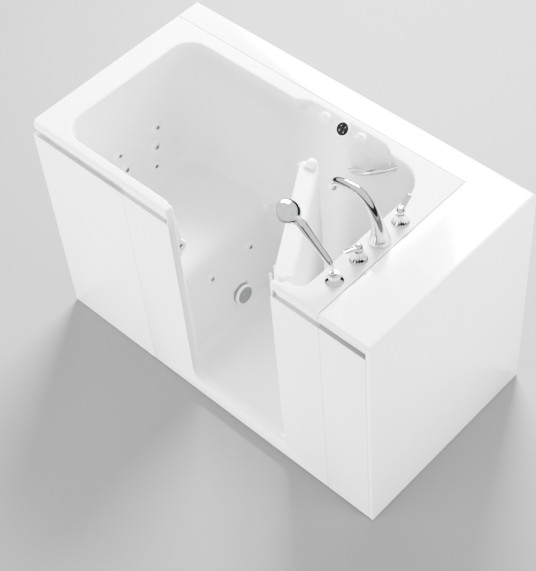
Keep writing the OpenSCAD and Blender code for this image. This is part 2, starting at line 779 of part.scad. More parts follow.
module door_seal() color("gainsboro") at_door() {
    y0 = door_out - seal_t;
    depth = seal_t - 0.05;
    span([-door_reach + 6, y0, door_z0 + 1], [-door_reach + 20, y0 + depth, deck_h - 4]);
    span([-(hinge_x - stop_lip_l), y0, door_z0 + 1],
         [-(hinge_x - stop_lip_l) + 11, y0 + depth, deck_h - 4]);
    span([-door_reach + 20.05, y0, door_z0 + 1],
         [-(hinge_x - stop_lip_l) - 0.05, y0 + depth, door_z0 + 11]);
}

// Holes for the two screws of each hinge bracket
module bracket_holes() for (z = hinge_zs, s = [-1, 1])
    translate([hinge_x, hinge_y, z + s * 18]) rotate([0, 90, 0]) cylinder(r = screw_r, h = pocket_r + 20);

// A fixed eye, an arm and a plate on the doorway's pocket at each hinge
module hinge_brackets() color("silver") difference() {
    for (z = hinge_zs) translate([hinge_x, hinge_y, z]) {
        translate([0, 0, -knuckle_h / 2]) cylinder(r = knuckle_r, h = knuckle_h);
        translate([0, -5, -knuckle_h / 2]) cube([pocket_r - 2, 10, knuckle_h]);
        intersection() {
            difference() {
                translate([0, 0, -26]) cylinder(r = pocket_r - 0.1, h = 52);
                translate([0, 0, -27]) cylinder(r = pocket_r - 4, h = 54);
            }
            translate([0, -11, -26]) cube([pocket_r + 5, 22, 52]);
        }
    }
    for (z = hinge_zs) translate([hinge_x, hinge_y, z - 30]) cylinder(r = hinge_pin_r, h = 60);
    bracket_holes();
}

module hinge_pins() color("silver")
    for (z = hinge_zs) translate([hinge_x, hinge_y, z - notch_h / 2 + 3]) {
        cylinder(r = hinge_pin_r, h = notch_h - 6);
        cylinder(r = hinge_pin_r + 2, h = 1.6);
    }

// Two eyes with a foot on the door at each hinge
module door_knuckles() color("silver") at_door()
    for (z = hinge_zs, s = [-1, 1]) translate([0, 0, z + s * (knuckle_h + hinge_gap)]) difference() {
        union() {
            translate([0, 0, -knuckle_h / 2 + 0.5]) cylinder(r = knuckle_r, h = knuckle_h - 1);
            translate([-knuckle_r - 0.95, -9, -knuckle_h / 2 + 0.5])
                cube([knuckle_r, 18, knuckle_h - 1]);
        }
        translate([0, 0, -30]) cylinder(r = hinge_pin_r + run_fit, h = 60);
    }

// The round handle on top of the door, set off its spindle, and the crank whose pin throws the bolt
crank_r = bolt_throw / sqrt(2);
crank_pin_r = 3;
module door_handle() color("white") at_door() translate([-latch_u, latch_v, 0]) {
    translate([0, 0, deck_h + 0.5]) cylinder(r = spindle_r + 4, h = 9);
    translate([-3, handle_r - 1, deck_h + 0.5]) {
        cylinder(r = handle_r, h = handle_h - 9);
        translate([0, 0, handle_h - 9]) cylinder(r1 = handle_r, r2 = handle_r - 5, h = 6);
        translate([0, 0, handle_h - 3]) cylinder(r1 = handle_r - 5, r2 = handle_r - 11, h = 3);
    }
    translate([0, 0, bolt_z + bolt_h / 2 + 1]) cylinder(r = spindle_r, h = deck_h - bolt_z);
    translate([0, 0, bolt_z + bolt_h / 2 + 1]) cylinder(r = crank_r + 4.5, h = 6);
    rotate([0, 0, -45]) translate([crank_r, 0, bolt_z - bolt_h / 2 + 1])
        cylinder(r = crank_pin_r, h = bolt_h + 2);
}

module latch_bolt() color("silver") at_door() difference() {
    union() {
        translate([-door_reach + 1, latch_v - bolt_t / 2, bolt_z - bolt_h / 2])
            cube([bolt_l, bolt_t, bolt_h]);
        translate([-latch_u + bolt_throw / 2 - 9, latch_v - crank_r - 6.5, bolt_z - bolt_h / 2])
            cube([18, crank_r + 6.5, bolt_h]);
    }
    // the slot that the crank's pin works in
    translate([-latch_u + bolt_throw / 2 - crank_pin_r - 0.6, latch_v - crank_r - 4, bolt_z - 20])
        cube([2 * crank_pin_r + 1.2, crank_r + 1, 40]);
}

module latch_strike() color("silver") difference() {
    translate([wall_end_x + 0.05, hinge_y + latch_v - 11, bolt_z - 24]) cube([2, 22, 48]);
    translate([wall_end_x - 5, hinge_y + latch_v - bolt_t / 2 - 1, bolt_z - bolt_h / 2 - 1])
        cube([10, bolt_t + 2, bolt_h + 2]);
    strike_holes();
}

module strike_holes() for (s = [-1, 1])
    translate([wall_end_x - 20, hinge_y + latch_v, bolt_z + s * 17]) rotate([0, 90, 0])
        cylinder(r = screw_r, h = 30);

// ---------------------------------------------------------------- jets, suction and pump

module jet_bodies() color("white") for (k = [0:7]) at_jet(k) difference() {
    union() {
        cylinder(r = jet_d / 2, h = 3);
        translate([0, 0, -48]) cylinder(r = jet_wall_r, h = 48);
        translate([0, 0, -shell_t - 9]) cylinder(r = jet_wall_r + 7, h = 8.8, $fn = 8);
        translate([0, 0, -60]) cylinder(r = 16, h = 20);
    }
    translate([0, 0, -14]) cylinder(r = jet_bore_r + run_fit, h = 30);
    translate([0, 0, -50]) cylinder(r = 9, h = 60);
}

module jet_nozzle(k) color("gainsboro") at_jet(k) difference() {
    union() {
        translate([0, 0, -13]) cylinder(r = jet_bore_r, h = 16.5);
        translate([0, 0, 3.4]) cylinder(r1 = jet_d / 2 - 3, r2 = jet_d / 2 - 8, h = 4);
        translate([0, 0, 3]) intersection() {
            sphere(r = 11);
            cylinder(r = 12, h = 12);
        }
        for (a = [0:120:240]) rotate([0, 0, a]) translate([15, 0, 6]) sphere(r = 3, $fn = 24);
    }
    translate([0, 0, -20]) cylinder(r = 5, h = 50);
}
module jet_nozzle_1() jet_nozzle(0);
module jet_nozzle_2() jet_nozzle(1);
module jet_nozzle_3() jet_nozzle(2);
module jet_nozzle_4() jet_nozzle(3);
module jet_nozzle_5() jet_nozzle(4);
module jet_nozzle_6() jet_nozzle(5);
module jet_nozzle_7() jet_nozzle(6);
module jet_nozzle_8() jet_nozzle(7);

module at_suction_screw(k) suction_at() rotate([0, 0, 45 + 90 * k])
    translate([suction_r + 4.5, 0, 0]) children();

module suction_at()
    translate([riser_at(suction_h), suction_y, suction_h]) rotate([0, 90 - lean_deg, 0]) children();

module suction_body() color("white") suction_at() difference() {
    union() {
        cylinder(r = suction_r + 9, h = 4);
        translate([0, 0, -50]) cylinder(r = pipe_r + 6, h = 50);
        translate([0, 0, -shell_t - 11]) cylinder(r = pipe_r + 15, h = 10.8, $fn = 8);
    }
    translate([0, 0, -30]) cylinder(r = pipe_r + 1, h = 40);
    translate([0, 0, -60]) cylinder(r = pipe_r - 2, h = 40);
    for (k = [0:3]) rotate([0, 0, 45 + 90 * k]) translate([suction_r + 4.5, 0, -20])
        cylinder(r = screw_r, h = 40);
}

module suction_cover() color("lightgray") suction_at() difference() {
    union() {
        translate([0, 0, 4.1]) cylinder(r = suction_r, h = 14);
        translate([0, 0, 18.1]) cylinder(r1 = suction_r, r2 = suction_r - 8, h = 6);
    }
    translate([0, 0, 4]) cylinder(r = suction_r - 4, h = 14);
    for (ring = [[9, 6], [19, 12], [29, 18]], k = [0:ring[1] - 1])
        rotate([0, 0, 360 * k / ring[1]]) translate([ring[0], 0, 10]) cylinder(r = 2.6, h = 20, $fn = 16);
}

module pump_wet_end() color("dimgray") {
    difference() {
        union() {
            translate([pump_x, pump_y, pump_z]) rotate([0, 90, 0]) cylinder(r = 78, h = 62);
            translate([pump_x + 62, pump_y, pump_z]) rotate([0, 90, 0]) cylinder(r = 34, h = 30);
            translate([pump_x + 31, jet_cy, pump_z]) cylinder(r = 27, h = 97);
            span([pump_x + 4, pump_y - 60, rail_top + 0.5], [pump_x + 52, pump_y + 60, pump_z - 60]);
        }
        translate([pump_x + 70, pump_y, pump_z]) rotate([0, 90, 0]) cylinder(r = pipe_r, h = 40);
        translate([pump_x + 31, jet_cy, pump_z + 70]) cylinder(r = press_r, h = 40);
    }
}

module pump_motor() color("black") {
    translate([pump_x - motor_l - 0.1, pump_y, pump_z]) rotate([0, 90, 0]) cylinder(r = 62, h = motor_l);
    translate([pump_x - motor_l - 20, pump_y, pump_z]) rotate([0, 90, 0]) cylinder(r = 56, h = 20);
    for (a = [0:30:330])
        translate([pump_x - motor_l + 15, pump_y, pump_z]) rotate([a, 0, 0])
            translate([0, -1.5, 58]) cube([motor_l - 40, 3, 10]);
    span([pump_x - motor_l + 30, pump_y - 50, rail_top + 0.5],
         [pump_x - motor_l + 60, pump_y + 50, pump_z - 50]);
    span([pump_x - motor_l + 40, pump_y - 35, pump_z + 50],
         [pump_x - 40, pump_y + 35, pump_z + 95]);
}

module suction_pipe() color("whitesmoke") {
    a = [riser_at(suction_h) - 51 * cos(lean_deg), suction_y, suction_h - 51 * sin(lean_deg)];
    pipe_run([a, [pump_x + 112, pump_y, pump_z], [pump_x + 93, pump_y, pump_z]], pipe_r - 3);
}

// The pressure line goes from the pump to the two jets in the riser, and on to the backrest
press_r = 16;
press_z = riser_jet_h - 62 * sin(lean_deg);
module jet_manifold() color("whitesmoke") {
    mx = bx0 - 61 - press_r;
    ox = pump_x + 31;
    low = jet_top_h - 2 * jet_pitch - 60;
    half = (jet_columns - jet_taper * (jet_top_h - low) / jet_pitch) / 2;
    half_top = (jet_columns + jet_taper * 20 / jet_pitch) / 2;
    fork = [mx, jet_cy, low];
    for (s = [-1, 1]) {
        foot = [mx, jet_cy + s * half, low];
        rod(foot, [mx, jet_cy + s * half_top, jet_top_h + 20], press_r);
        rod(fork, foot, press_r);
        translate(foot) sphere(r = press_r * elbow);
        tee = [ox, jet_cy + s * 101, press_z];
        rod([ox, jet_cy, press_z], tee, press_r);
        rod(tee, [riser_at(riser_jet_h) - 67, jet_cy + s * 101, press_z], press_r);
        translate(tee) sphere(r = press_r * elbow);
    }
    rod(fork, [mx, jet_cy, press_z], press_r);
    rod([mx, jet_cy, press_z], [ox, jet_cy, press_z], press_r);
    rod([ox, jet_cy, press_z], [ox, jet_cy, pump_z + 98], press_r);
    for (p = [fork, [mx, jet_cy, press_z], [ox, jet_cy, press_z]])
        translate(p) sphere(r = press_r * elbow);
}

module air_lines() color("gray") {
    y = y_tub + 20;
    for (s = [-1, 1])
        pipe_run([[pad_x + s * air_pitch, pad_y + 46, pad_z - 48],
                  [pad_x + s * air_pitch, y + 4, pad_z - 90],
                  [pad_x + s * air_pitch, y + 4, 560 - s * 14],
                  [bx0 - 40, y + 4, 560 - s * 14],
                  [bx0 - 40, y - 60, 560 - s * 14]], air_pipe_r);
}

// ---------------------------------------------------------------- controls on the ledge

module control_bezel() color("white") at_ledge(0) difference() {
    union() {
        cylinder(r1 = pad_d / 2 + 8, r2 = pad_d / 2 + 5, h = 6);
        translate([0, 0, -24]) cylinder(r = 21.5, h = 24);
    }
    translate([0, 0, 3]) cylinder(r = pad_d / 2, h = 10);
    for (k = [0:3]) rotate([0, 0, 45 + 90 * k]) translate([button_ring, 0, -8])
        cylinder(r = button_r + 0.3, h = 20);
}

module pad_button(k) color("black") at_ledge(0) rotate([0, 0, 45 + 90 * k])
    translate([button_ring, 0, 0]) {
        translate([0, 0, -4]) cylinder(r = button_r, h = 9);
        translate([0, 0, 5]) cylinder(r1 = button_r, r2 = button_r - 1, h = 0.8);
    }
module pad_button_1() pad_button(0);
module pad_button_2() pad_button(1);
module pad_button_3() pad_button(2);
module pad_button_4() pad_button(3);

// The switch box hangs from the frame's rear rail
module control_box() color("black") {
    top = deck_low - 4;
    span([pad_x - 300, frame_y[1] - 46, top - 130], [pad_x - 120, frame_y[1] - 0.2, top]);
    span([pad_x - 290, frame_y[1] - 52, top - 120], [pad_x - 130, frame_y[1] - 46, top - 10]);
}

module air_control_bodies() color("white") for (s = [-1, 1]) at_ledge(s * air_pitch) difference() {
    union() {
        cylinder(r = air_d / 2 + 4, h = 4);
        translate([0, 0, -54]) cylinder(r = 12.5, h = 54);
    }
    translate([0, 0, -20]) cylinder(r = 7 + run_fit, h = 40);
    translate([0, 0, -60]) cylinder(r = 5, h = 60);
}

module air_knob(s) color("white") at_ledge(s * air_pitch) {
    translate([0, 0, -19]) cylinder(r = 7, h = 24);
    translate([0, 0, 4.4]) cylinder(r1 = air_d / 2, r2 = air_d / 2 - 3, h = 8);
    translate([0, 0, 12.4]) cylinder(r = 10, h = 3);
    translate([-3, 0, 12.4]) cube([6, air_d / 2 - 5, 5]);
}
module air_knob_left() air_knob(-1);
module air_knob_right() air_knob(1);

// ---------------------------------------------------------------- waste

module drain_flange() color("silver") translate([drain_x, drain_y, floor_h]) difference() {
    union() {
        cylinder(r = drain_r + 10, h = 2.5);
        translate([0, 0, -18]) cylinder(r = drain_r, h = 18);
    }
    translate([0, 0, -30]) cylinder(r = drain_r - 4, h = 40);
}

module drain_stopper() color("silver") translate([drain_x, drain_y, floor_h]) {
    translate([0, 0, 2.7]) cylinder(r = drain_r - 1, h = 3);
    translate([0, 0, 5.7]) cylinder(r1 = drain_r - 1, r2 = drain_r - 8, h = 3);
    translate([0, 0, -14]) cylinder(r = 4, h = 17);
}

// The waste runs flat under the floor to the back, and the overflow drops into it
waste_z = floor_h - shell_t - 14;
waste_r = 13;
module drain_pipe() color("whitesmoke") {
    difference() {
        union() {
            translate([drain_x, drain_y, waste_z - waste_r + 1])
                cylinder(r = drain_r + 8, h = 2 * waste_r - 2);
            pipe_run([[drain_x, drain_y, waste_z], [waste_x, drain_y, waste_z],
                      [waste_x, y_back - 60, waste_z]], waste_r);
        }
        translate([drain_x, drain_y, waste_z - waste_r + 4]) cylinder(r = drain_r + 0.2, h = 40);
    }
    rod([waste_x, y_back - 60, waste_z], [waste_x, y_back - 8, waste_z], 20);
    // the overflow's elbow at the wall takes the knob's stem, and drops to the waste
    difference() {
        union() {
            rod([sx1 + shell_t + 8, basin_cy, overflow_h], [waste_x, basin_cy, overflow_h], 17.5);
            translate([waste_x, basin_cy, overflow_h]) sphere(r = 17.5);
            rod([waste_x, basin_cy, waste_z], [waste_x, basin_cy, overflow_h], 15);
        }
        rod([sx1, basin_cy, overflow_h], [waste_x - 8, basin_cy, overflow_h], knob_stem_r + 0.5);
    }
}

knob_stem_r = 9;
wall_at_overflow = bx1 - 12 * (deck_h - overflow_h) / (deck_h - cove_top);
module overflow_knob() color("silver")
    translate([wall_at_overflow - 1.5, basin_cy, overflow_h]) rotate([0, -90, 0]) {
        cylinder(r1 = 36, r2 = 33, h = 9);
        translate([0, 0, -20]) cylinder(r = knob_stem_r, h = 20);
        for (a = [0:60:300]) rotate([0, 0, a]) translate([33, 0, 1]) cylinder(r = 5, h = 7);
    }

// ---------------------------------------------------------------- taps

// Turned deck flange that every tap stands on
module bell(r, h) rotate_extrude() polygon([
    [0, 0], [r, 0], [r, 3], [r * 0.86, 7], [r * 0.62, h * 0.5], [r * 0.55, h], [0, h]]);

module tap_escutcheons() color("silver") for (y = [hot_y, cold_y])
    translate([tap_x, y, deck_h]) difference() {
        bell(bell_r, 40);
        translate([0, 0, -1]) cylinder(r = stem_r + run_fit, h = 60);
    }

module tap_valves() color("goldenrod") for (y = [hot_y, cold_y])
    translate([tap_x, y, deck_h - 70]) {
        cylinder(r = 14, h = 69.5);
        translate([0, 0, 40]) cylinder(r = 20, h = 22, $fn = 6);
        translate([0, 0, 10]) rotate([0, 90, 0]) cylinder(r = 11, h = 34, center = true);
    }

// A lever: stem, hub with a ringed cap, and a flat blade that rises towards its tip
module lever(turn) {
    translate([0, 0, 1]) cylinder(r = stem_r, h = 42);
    translate([0, 0, 40.5]) cylinder(r1 = 13, r2 = 15, h = 14);
    translate([0, 0, 54.5]) cylinder(r1 = 15, r2 = 10, h = 7);
    translate([0, 0, 61.5]) cylinder(r = 7, h = 3);
    rotate([0, 0, turn]) hull() {
        translate([4, 0, 46]) cylinder(r = 9, h = 9, $fn = hull_fn);
        translate([50, 0, 66]) rotate([0, -24, 0]) cylinder(r = 9, h = 4, $fn = hull_fn);
    }
}
module hot_lever() color("silver") translate([tap_x, hot_y, deck_h]) lever(-lever_turn);
module cold_lever() color("silver") translate([tap_x, cold_y, deck_h]) lever(lever_turn);

// The spout's centre line and radius: it rises steeply, then falls gently to the outlet
spout_drop = 38;
outlet_l = 16;
function arch(t) = t < 0.5
    ? [-0.52 * spout_reach * (1 - cos(180 * t)), spout_h * sin(180 * t), 13 + 25 * pow(1 - 2 * t, 2.5)]
    : [-spout_reach * (0.52 - 0.48 * cos(180 * t)), spout_h - spout_drop * (1 - sin(180 * t)), 12 + 2 * t];

module spout() color("silver") translate([tap_x, spout_y, deck_h]) difference() {
    union() {
        cylinder(r = 39, h = 4);
        translate([0, 0, 4]) cylinder(r1 = 37, r2 = 30, h = 30);
        for (k = [0:6]) hull() for (j = [k, k + 1]) {
            p = arch(0.07 + 0.93 * j / 7);
            translate([p[0], 0, p[1]]) sphere(r = p[2], $fn = 24);
        }
        at_outlet() cylinder(r = 14.5, h = outlet_l);
        translate([0, 0, -50]) cylinder(r = 14, h = 52);
    }
    at_outlet() translate([0, 0, 3]) cylinder(r = 12, h = 30);
}

// The outlet's own frame, with +Z along the water
module at_outlet() translate([arch(1)[0], 0, arch(1)[1]]) rotate([0, 202, 0]) children();

module spout_aerator() color("gray") translate([tap_x, spout_y, deck_h]) at_outlet() difference() {
    translate([0, 0, 5]) cylinder(r = 11.95, h = outlet_l - 3.5);
    translate([0, 0, 9]) cylinder(r = 9, h = outlet_l);
}

// The holder's own frame: +Z runs up out of the deck, along the hand shower's foot
module at_post() translate([tap_x, wand_y, deck_h]) rotate([0, -post_lean, 0]) children();

// The handle's own frame, with its foot at the origin, and the head's, with +Z out of its face
module at_wand() at_post() translate([0, 0, post_l]) rotate([0, post_lean - wand_lean, 0]) children();
module at_head() at_wand() translate([-23, 0, wand_l + 58]) rotate([0, -105, 0]) children();

module shower_holder() color("silver") difference() {
    union() {
        translate([tap_x, wand_y, deck_h]) bell(bell_r, post_h - 6);
        at_post() translate([0, 0, -44]) cylinder(r = neck_r + 4, h = 44 + post_h);
    }
    at_post() translate([0, 0, -60]) cylinder(r = neck_r + run_fit, h = 120);
}

module shower_handle() color("silver") difference() {
    union() {
        at_post() translate([0, 0, -20]) cylinder(r = neck_r, h = post_l + 18);
        at_wand() {
            translate([0, 0, -2]) cylinder(r1 = wand_r - 3, r2 = wand_r, h = 10);
            translate([0, 0, 7.9]) cylinder(r = wand_r, h = wand_l - 7.9);
        }
        // the neck, and the head: a shallow dome whose face looks down at the bath
        hull() {
            at_wand() translate([0, 0, wand_l]) sphere(r = wand_r - 0.5, $fn = hull_fn);
            at_head() translate([-head_d / 2 + 11, 0, -7]) sphere(r = 10, $fn = hull_fn);
        }
        at_head() {
            translate([0, 0, -6]) cylinder(r = head_d / 2, h = 12);
            intersection() {
                translate([0, 0, dome_r - 20]) sphere(r = dome_r);
                translate([0, 0, -20]) cylinder(r = head_d / 2 - 0.5, h = 15);
            }
        }
    }
    at_head() translate([0, 0, 6]) cylinder(r = head_d / 2, h = 30);
}
dome_r = (head_d * head_d / 4 + 14 * 14) / 28;

module shower_faceplate() color("gray") at_head() difference() {
    translate([0, 0, 6.1]) cylinder(r = head_d / 2 - 4, h = 3);
    for (ring = [[10, 6], [20, 12], [30, 18]], k = [0:ring[1] - 1])
        rotate([0, 0, 360 * k / ring[1]]) translate([ring[0], 0, 5]) cylinder(r = 1.6, h = 6, $fn = 16);
}

// ---------------------------------------------------------------- grab bar and supply

// The bar is an arc that bows out from the back wall between two flanges
bar_x = ledge_x0 + 358;
bar_z = deck_h - 106;
bar_tilt = 35;
bar_stud_r = 4;

// The round dished recess in the wall that makes room for the fingers behind the bar, grown by g
recess_d = 104;
recess_in = 20;
recess_draft = 1.03;
recess_over = 10;
module bar_recess(g) translate([bar_x - recess_d / 2, back_wall_at(bar_z - 4), bar_z - 4])
    rotate([-90 - atan(back_slope), 0, 0]) translate([0, 0, -recess_over])
        cylinder(r1 = recess_d / 2 + g + recess_over * recess_draft,
                 r2 = recess_d / 2 + g - recess_in * recess_draft, h = recess_over + recess_in + g, $fn = 48);

// The bar's own frame lies in the leaning back wall, with the bar along X and +Y out of the bath
module at_bar() translate([bar_x, back_wall_at(bar_z), bar_z])
    rotate([-atan(back_slope), 0, 0]) rotate([0, -bar_tilt, 0]) children();

module grab_bar() color("silver") at_bar() {
    big = (bar_span * bar_span / 4 + bar_bow * bar_bow) / (2 * bar_bow);
    half = asin(bar_span / 2 / big);
    difference() {
        translate([0, big - bar_bow, 0]) rotate([0, 0, -96 - half])
            rotate_extrude(angle = 2 * half + 12) translate([big, 0]) circle(bar_d / 2);
        span([-bar_span, -0.1, -bar_d], [bar_span, bar_span, bar_d]);
    }
    // a flange on the wall at each end, and the stud that goes through it
    for (s = [-1, 1]) translate([s * bar_span / 2, 0, 0]) rotate([-90, 0, 0]) {
        translate([0, 0, -3.1]) cylinder(r = bar_d / 2 + 6, h = 3);
        translate([0, 0, -1]) cylinder(r = bar_stud_r, h = shell_t + 14);
    }
}

supply_r = 9;
stub_r = 11;
stub_l = 44;

// Each supply runs from its valve to a reducing coupling, with a stub at the rear of the bath
module supply_pipes() color("peru") for (s = [-1, 1]) {
    y = s < 0 ? hot_y : cold_y;
    x = tap_x + 75;
    z = 200 + s * 30;
    stub_y = y_back - 6 - stub_l;
    pipe_run([[tap_x + 17, y, deck_h - 60], [x, y, deck_h - 60], [x, y, z], [x, stub_y - 10, z]], supply_r);
    rod([x, stub_y - 24, z], [x, stub_y, z], stub_r + 4);
    rod([x, stub_y, z], [x, y_back - 6, z], stub_r);
}

tub_shell();
deck_extension();
front_panel_center();
front_panel_left();
front_panel_right();
end_panel_right();
screws();
base_frame();
upper_frame();
seat_supports();
leveling_feet();
hinge_brackets();
hinge_pins();
latch_strike();
jet_bodies();
jet_manifold();
air_lines();
suction_pipe();
suction_body();
suction_cover();
pump_wet_end();
pump_motor();
control_bezel();
control_box();
air_control_bodies();
drain_flange();
drain_pipe();
spout();
spout_aerator();
tap_escutcheons();
tap_valves();
shower_holder();
grab_bar();
supply_pipes();
door_outer_shell();
door_inner_shell();
door_seal();
door_knuckles();
door_handle();
latch_bolt();
hot_lever();
cold_lever();
shower_handle();
shower_faceplate();
air_knob_left();
air_knob_right();
drain_stopper();
overflow_knob();
jet_nozzle_1();
jet_nozzle_2();
jet_nozzle_3();
jet_nozzle_4();
jet_nozzle_5();
jet_nozzle_6();
jet_nozzle_7();
jet_nozzle_8();
pad_button_1();
pad_button_2();
pad_button_3();
pad_button_4();
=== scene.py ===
# Walk-in bath with water jets and an inward-opening door, standing in a plain studio.
import json
import math

import bpy
from mathutils import Matrix, Vector


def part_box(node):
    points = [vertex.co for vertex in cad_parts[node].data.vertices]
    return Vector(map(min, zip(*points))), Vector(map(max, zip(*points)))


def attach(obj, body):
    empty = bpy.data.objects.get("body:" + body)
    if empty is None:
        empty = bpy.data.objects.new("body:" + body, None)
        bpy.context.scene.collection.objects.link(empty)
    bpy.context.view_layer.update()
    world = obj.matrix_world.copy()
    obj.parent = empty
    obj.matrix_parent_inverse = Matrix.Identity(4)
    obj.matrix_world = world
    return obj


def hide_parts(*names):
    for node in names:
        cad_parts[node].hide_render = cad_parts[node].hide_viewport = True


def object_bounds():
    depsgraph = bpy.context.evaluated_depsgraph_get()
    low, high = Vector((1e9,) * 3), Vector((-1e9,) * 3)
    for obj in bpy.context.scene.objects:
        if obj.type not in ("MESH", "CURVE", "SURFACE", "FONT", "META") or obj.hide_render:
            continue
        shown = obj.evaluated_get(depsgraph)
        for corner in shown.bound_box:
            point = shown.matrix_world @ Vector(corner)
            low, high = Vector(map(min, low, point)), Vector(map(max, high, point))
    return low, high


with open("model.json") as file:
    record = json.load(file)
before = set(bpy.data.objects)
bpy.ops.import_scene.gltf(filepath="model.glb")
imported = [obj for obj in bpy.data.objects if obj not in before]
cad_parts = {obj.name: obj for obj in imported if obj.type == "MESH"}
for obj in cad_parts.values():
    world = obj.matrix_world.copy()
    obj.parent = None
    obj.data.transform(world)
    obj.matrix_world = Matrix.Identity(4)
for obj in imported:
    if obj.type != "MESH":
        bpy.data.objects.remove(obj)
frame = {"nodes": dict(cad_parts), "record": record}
cad_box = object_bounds()

# The studio: a plain pale floor, a large soft light above and behind the bath, two weaker ones in
# front and at the tap end that don't show in the chrome, and a bright room all round.
bpy.ops.object.select_all(action="DESELECT")
bpy.ops.mesh.primitive_plane_add(size=30)
floor = bpy.context.object
floor.name = "studio_floor"

floor_paint = bpy.data.materials.new("pale_floor")
floor_paint.use_nodes = True
floor_nodes = floor_paint.node_tree
floor_shader = floor_nodes.nodes["Principled BSDF"]
floor_shader.inputs["Roughness"].default_value = 0.7
floor_mottle = floor_nodes.nodes.new("ShaderNodeTexNoise")
floor_mottle.inputs["Scale"].default_value = 1.5
floor_tint = floor_nodes.nodes.new("ShaderNodeMix")
floor_tint.data_type = "RGBA"
floor_tint.inputs["A"].default_value = (0.20, 0.20, 0.205, 1)
floor_tint.inputs["B"].default_value = (0.215, 0.215, 0.215, 1)
floor_nodes.links.new(floor_mottle.outputs["Fac"], floor_tint.inputs["Factor"])
floor_nodes.links.new(floor_tint.outputs["Result"], floor_shader.inputs["Base Color"])
floor.data.materials.append(floor_paint)

# the room has a dark band along the foot of its walls, which draws the edges of the chrome
room = bpy.data.worlds.new("bright_room")
bpy.context.scene.world = room
room.use_nodes = True
room_nodes, room_link = room.node_tree.nodes, room.node_tree.links
room_way = room_nodes.new("ShaderNodeTexCoord")
room_split = room_nodes.new("ShaderNodeSeparateXYZ")
room_height = room_nodes.new("ShaderNodeMapRange")
room_height.inputs["From Min"].default_value = -1
room_tones = room_nodes.new("ShaderNodeValToRGB")
room_tones.color_ramp.elements[0].color = (0.50, 0.50, 0.51, 1)
room_tones.color_ramp.elements[1].color = (1.0, 1.0, 1.0, 1)
for at, tone in ((0.500, 0.50), (0.508, 0.03), (0.620, 0.04), (0.660, 0.85), (0.74, 0.95)):
    stop = room_tones.color_ramp.elements.new(at)
    stop.color = (tone, tone, tone * 1.01, 1)
room_link.new(room_way.outputs["Generated"], room_split.inputs["Vector"])
room_link.new(room_split.outputs["Z"], room_height.inputs["Value"])
room_link.new(room_height.outputs["Result"], room_tones.inputs["Fac"])
room_link.new(room_tones.outputs["Color"], room_nodes["Background"].inputs["Color"])
room_nodes["Background"].inputs["Strength"].default_value = 1.15
bpy.context.scene.view_settings.look = "AgX - Medium High Contrast"


def studio_light(name, place, aim, width, height, power, mirrored=True):
    """A soft rectangular light; one that isn't mirrored doesn't show in the chrome."""
    lamp = bpy.data.lights.new(name, "AREA")
    lamp.shape = "RECTANGLE"
    lamp.size = width
    lamp.size_y = height
    lamp.energy = power
    light = bpy.data.objects.new(name, lamp)
    light.visible_glossy = mirrored
    bpy.context.scene.collection.objects.link(light)
    light.location = place
    light.rotation_euler = (Vector(aim) - Vector(place)).to_track_quat("-Z", "Y").to_euler()


studio_light("ceiling_light", (-1.5, 2.6, 3.4), (-0.1, 0, 0.7), 2.2, 1.8, 980)
studio_light("front_light", (-1.4, -4.2, 0.75), (-0.1, -0.4, 0.5), 3.6, 1.2, 480, False)
studio_light("tap_end_light", (4.2, 0.9, 1.4), (0.7, 0.2, 0.5), 2.4, 1.6, 270, False)

# The camera stands above the tap end, in front of the bath, as the photograph's did: its place,
# its aim and its lens were solved from the straight edges of the deck and the panels.
camera_place = Vector((2.4407, -2.3083, 4.3165))
camera_azimuth = math.radians(47.65)
camera_height = math.radians(50.05)
camera_roll = math.radians(-5.87)
camera_lens = 90.64
camera_back = Vector((math.sin(camera_azimuth) * math.cos(camera_height),
                      -math.cos(camera_azimuth) * math.cos(camera_height),
                      math.sin(camera_height)))
camera_level = Vector((math.cos(camera_azimuth), math.sin(camera_azimuth), 0))
camera_rise = camera_back.cross(camera_level)
camera_right = math.cos(camera_roll) * camera_level + math.sin(camera_roll) * camera_rise
camera_up = camera_back.cross(camera_right)
camera = bpy.data.objects.new("camera", bpy.data.cameras.new("camera"))
bpy.context.scene.collection.objects.link(camera)
camera.matrix_world = Matrix.Translation(camera_place) @ Matrix(
    (camera_right, camera_up, camera_back)).transposed().to_4x4()
camera.data.lens = camera_lens
camera.data.clip_end = 50
bpy.context.scene.camera = camera

# The tub: one sheet of white acrylic, drawn down into a mould so that every edge is soft, and
# backed with rough glass fibre. It is built as a thick block less the bather's space, softened
# all over, and then cut down to the face of the sheet and given its real wall.
wall = 0.006
tub_left, tub_front = cad_box[0].x, cad_box[0].y
tub_right, tub_back, deck_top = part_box("tub_shell")[1]
lip_height, groove_height, groove_depth = 0.032, 0.032, 0.017
lip_bottom = deck_top - lip_height
groove_bottom = lip_bottom - groove_height
deck_corner_r, deck_edge_r = 0.025, 0.012
basin_left, basin_right, basin_front, basin_back = -0.647, 0.455, -0.365, 0.247
seat_right, seat_front, seat_back = 0.443, -0.342, 0.208
seat_top, cove = 0.430, 0.045
space_top, way_top = deck_top + 0.004, 1.0
well_right, well_front, well_back, well_floor = 0.431, -0.338, 0.1775, 0.047
well_height = seat_top - well_floor
riser_top_x, riser_foot_x = -0.240, -0.190
door_left, door_right = -0.095, 0.358
latch_wall_x, hinge_x, hinge_y = -0.127, 0.352, -0.348
frame_inner_y, door_shelf, sill_top = -0.372, 0.052, 0.068


def select_only(piece):
    bpy.ops.object.select_all(action="DESELECT")
    piece.select_set(True)
    bpy.context.view_layer.objects.active = piece


def block(name, low, high):
    """A box between two corners."""
    bpy.ops.object.select_all(action="DESELECT")
    low, high = Vector(low), Vector(high)
    bpy.ops.mesh.primitive_cube_add(size=1, location=(low + high) / 2)
    made = bpy.context.object
    made.name = name
    made.scale = high - low
    bpy.ops.object.transform_apply(location=True, rotation=True, scale=True)
    return made


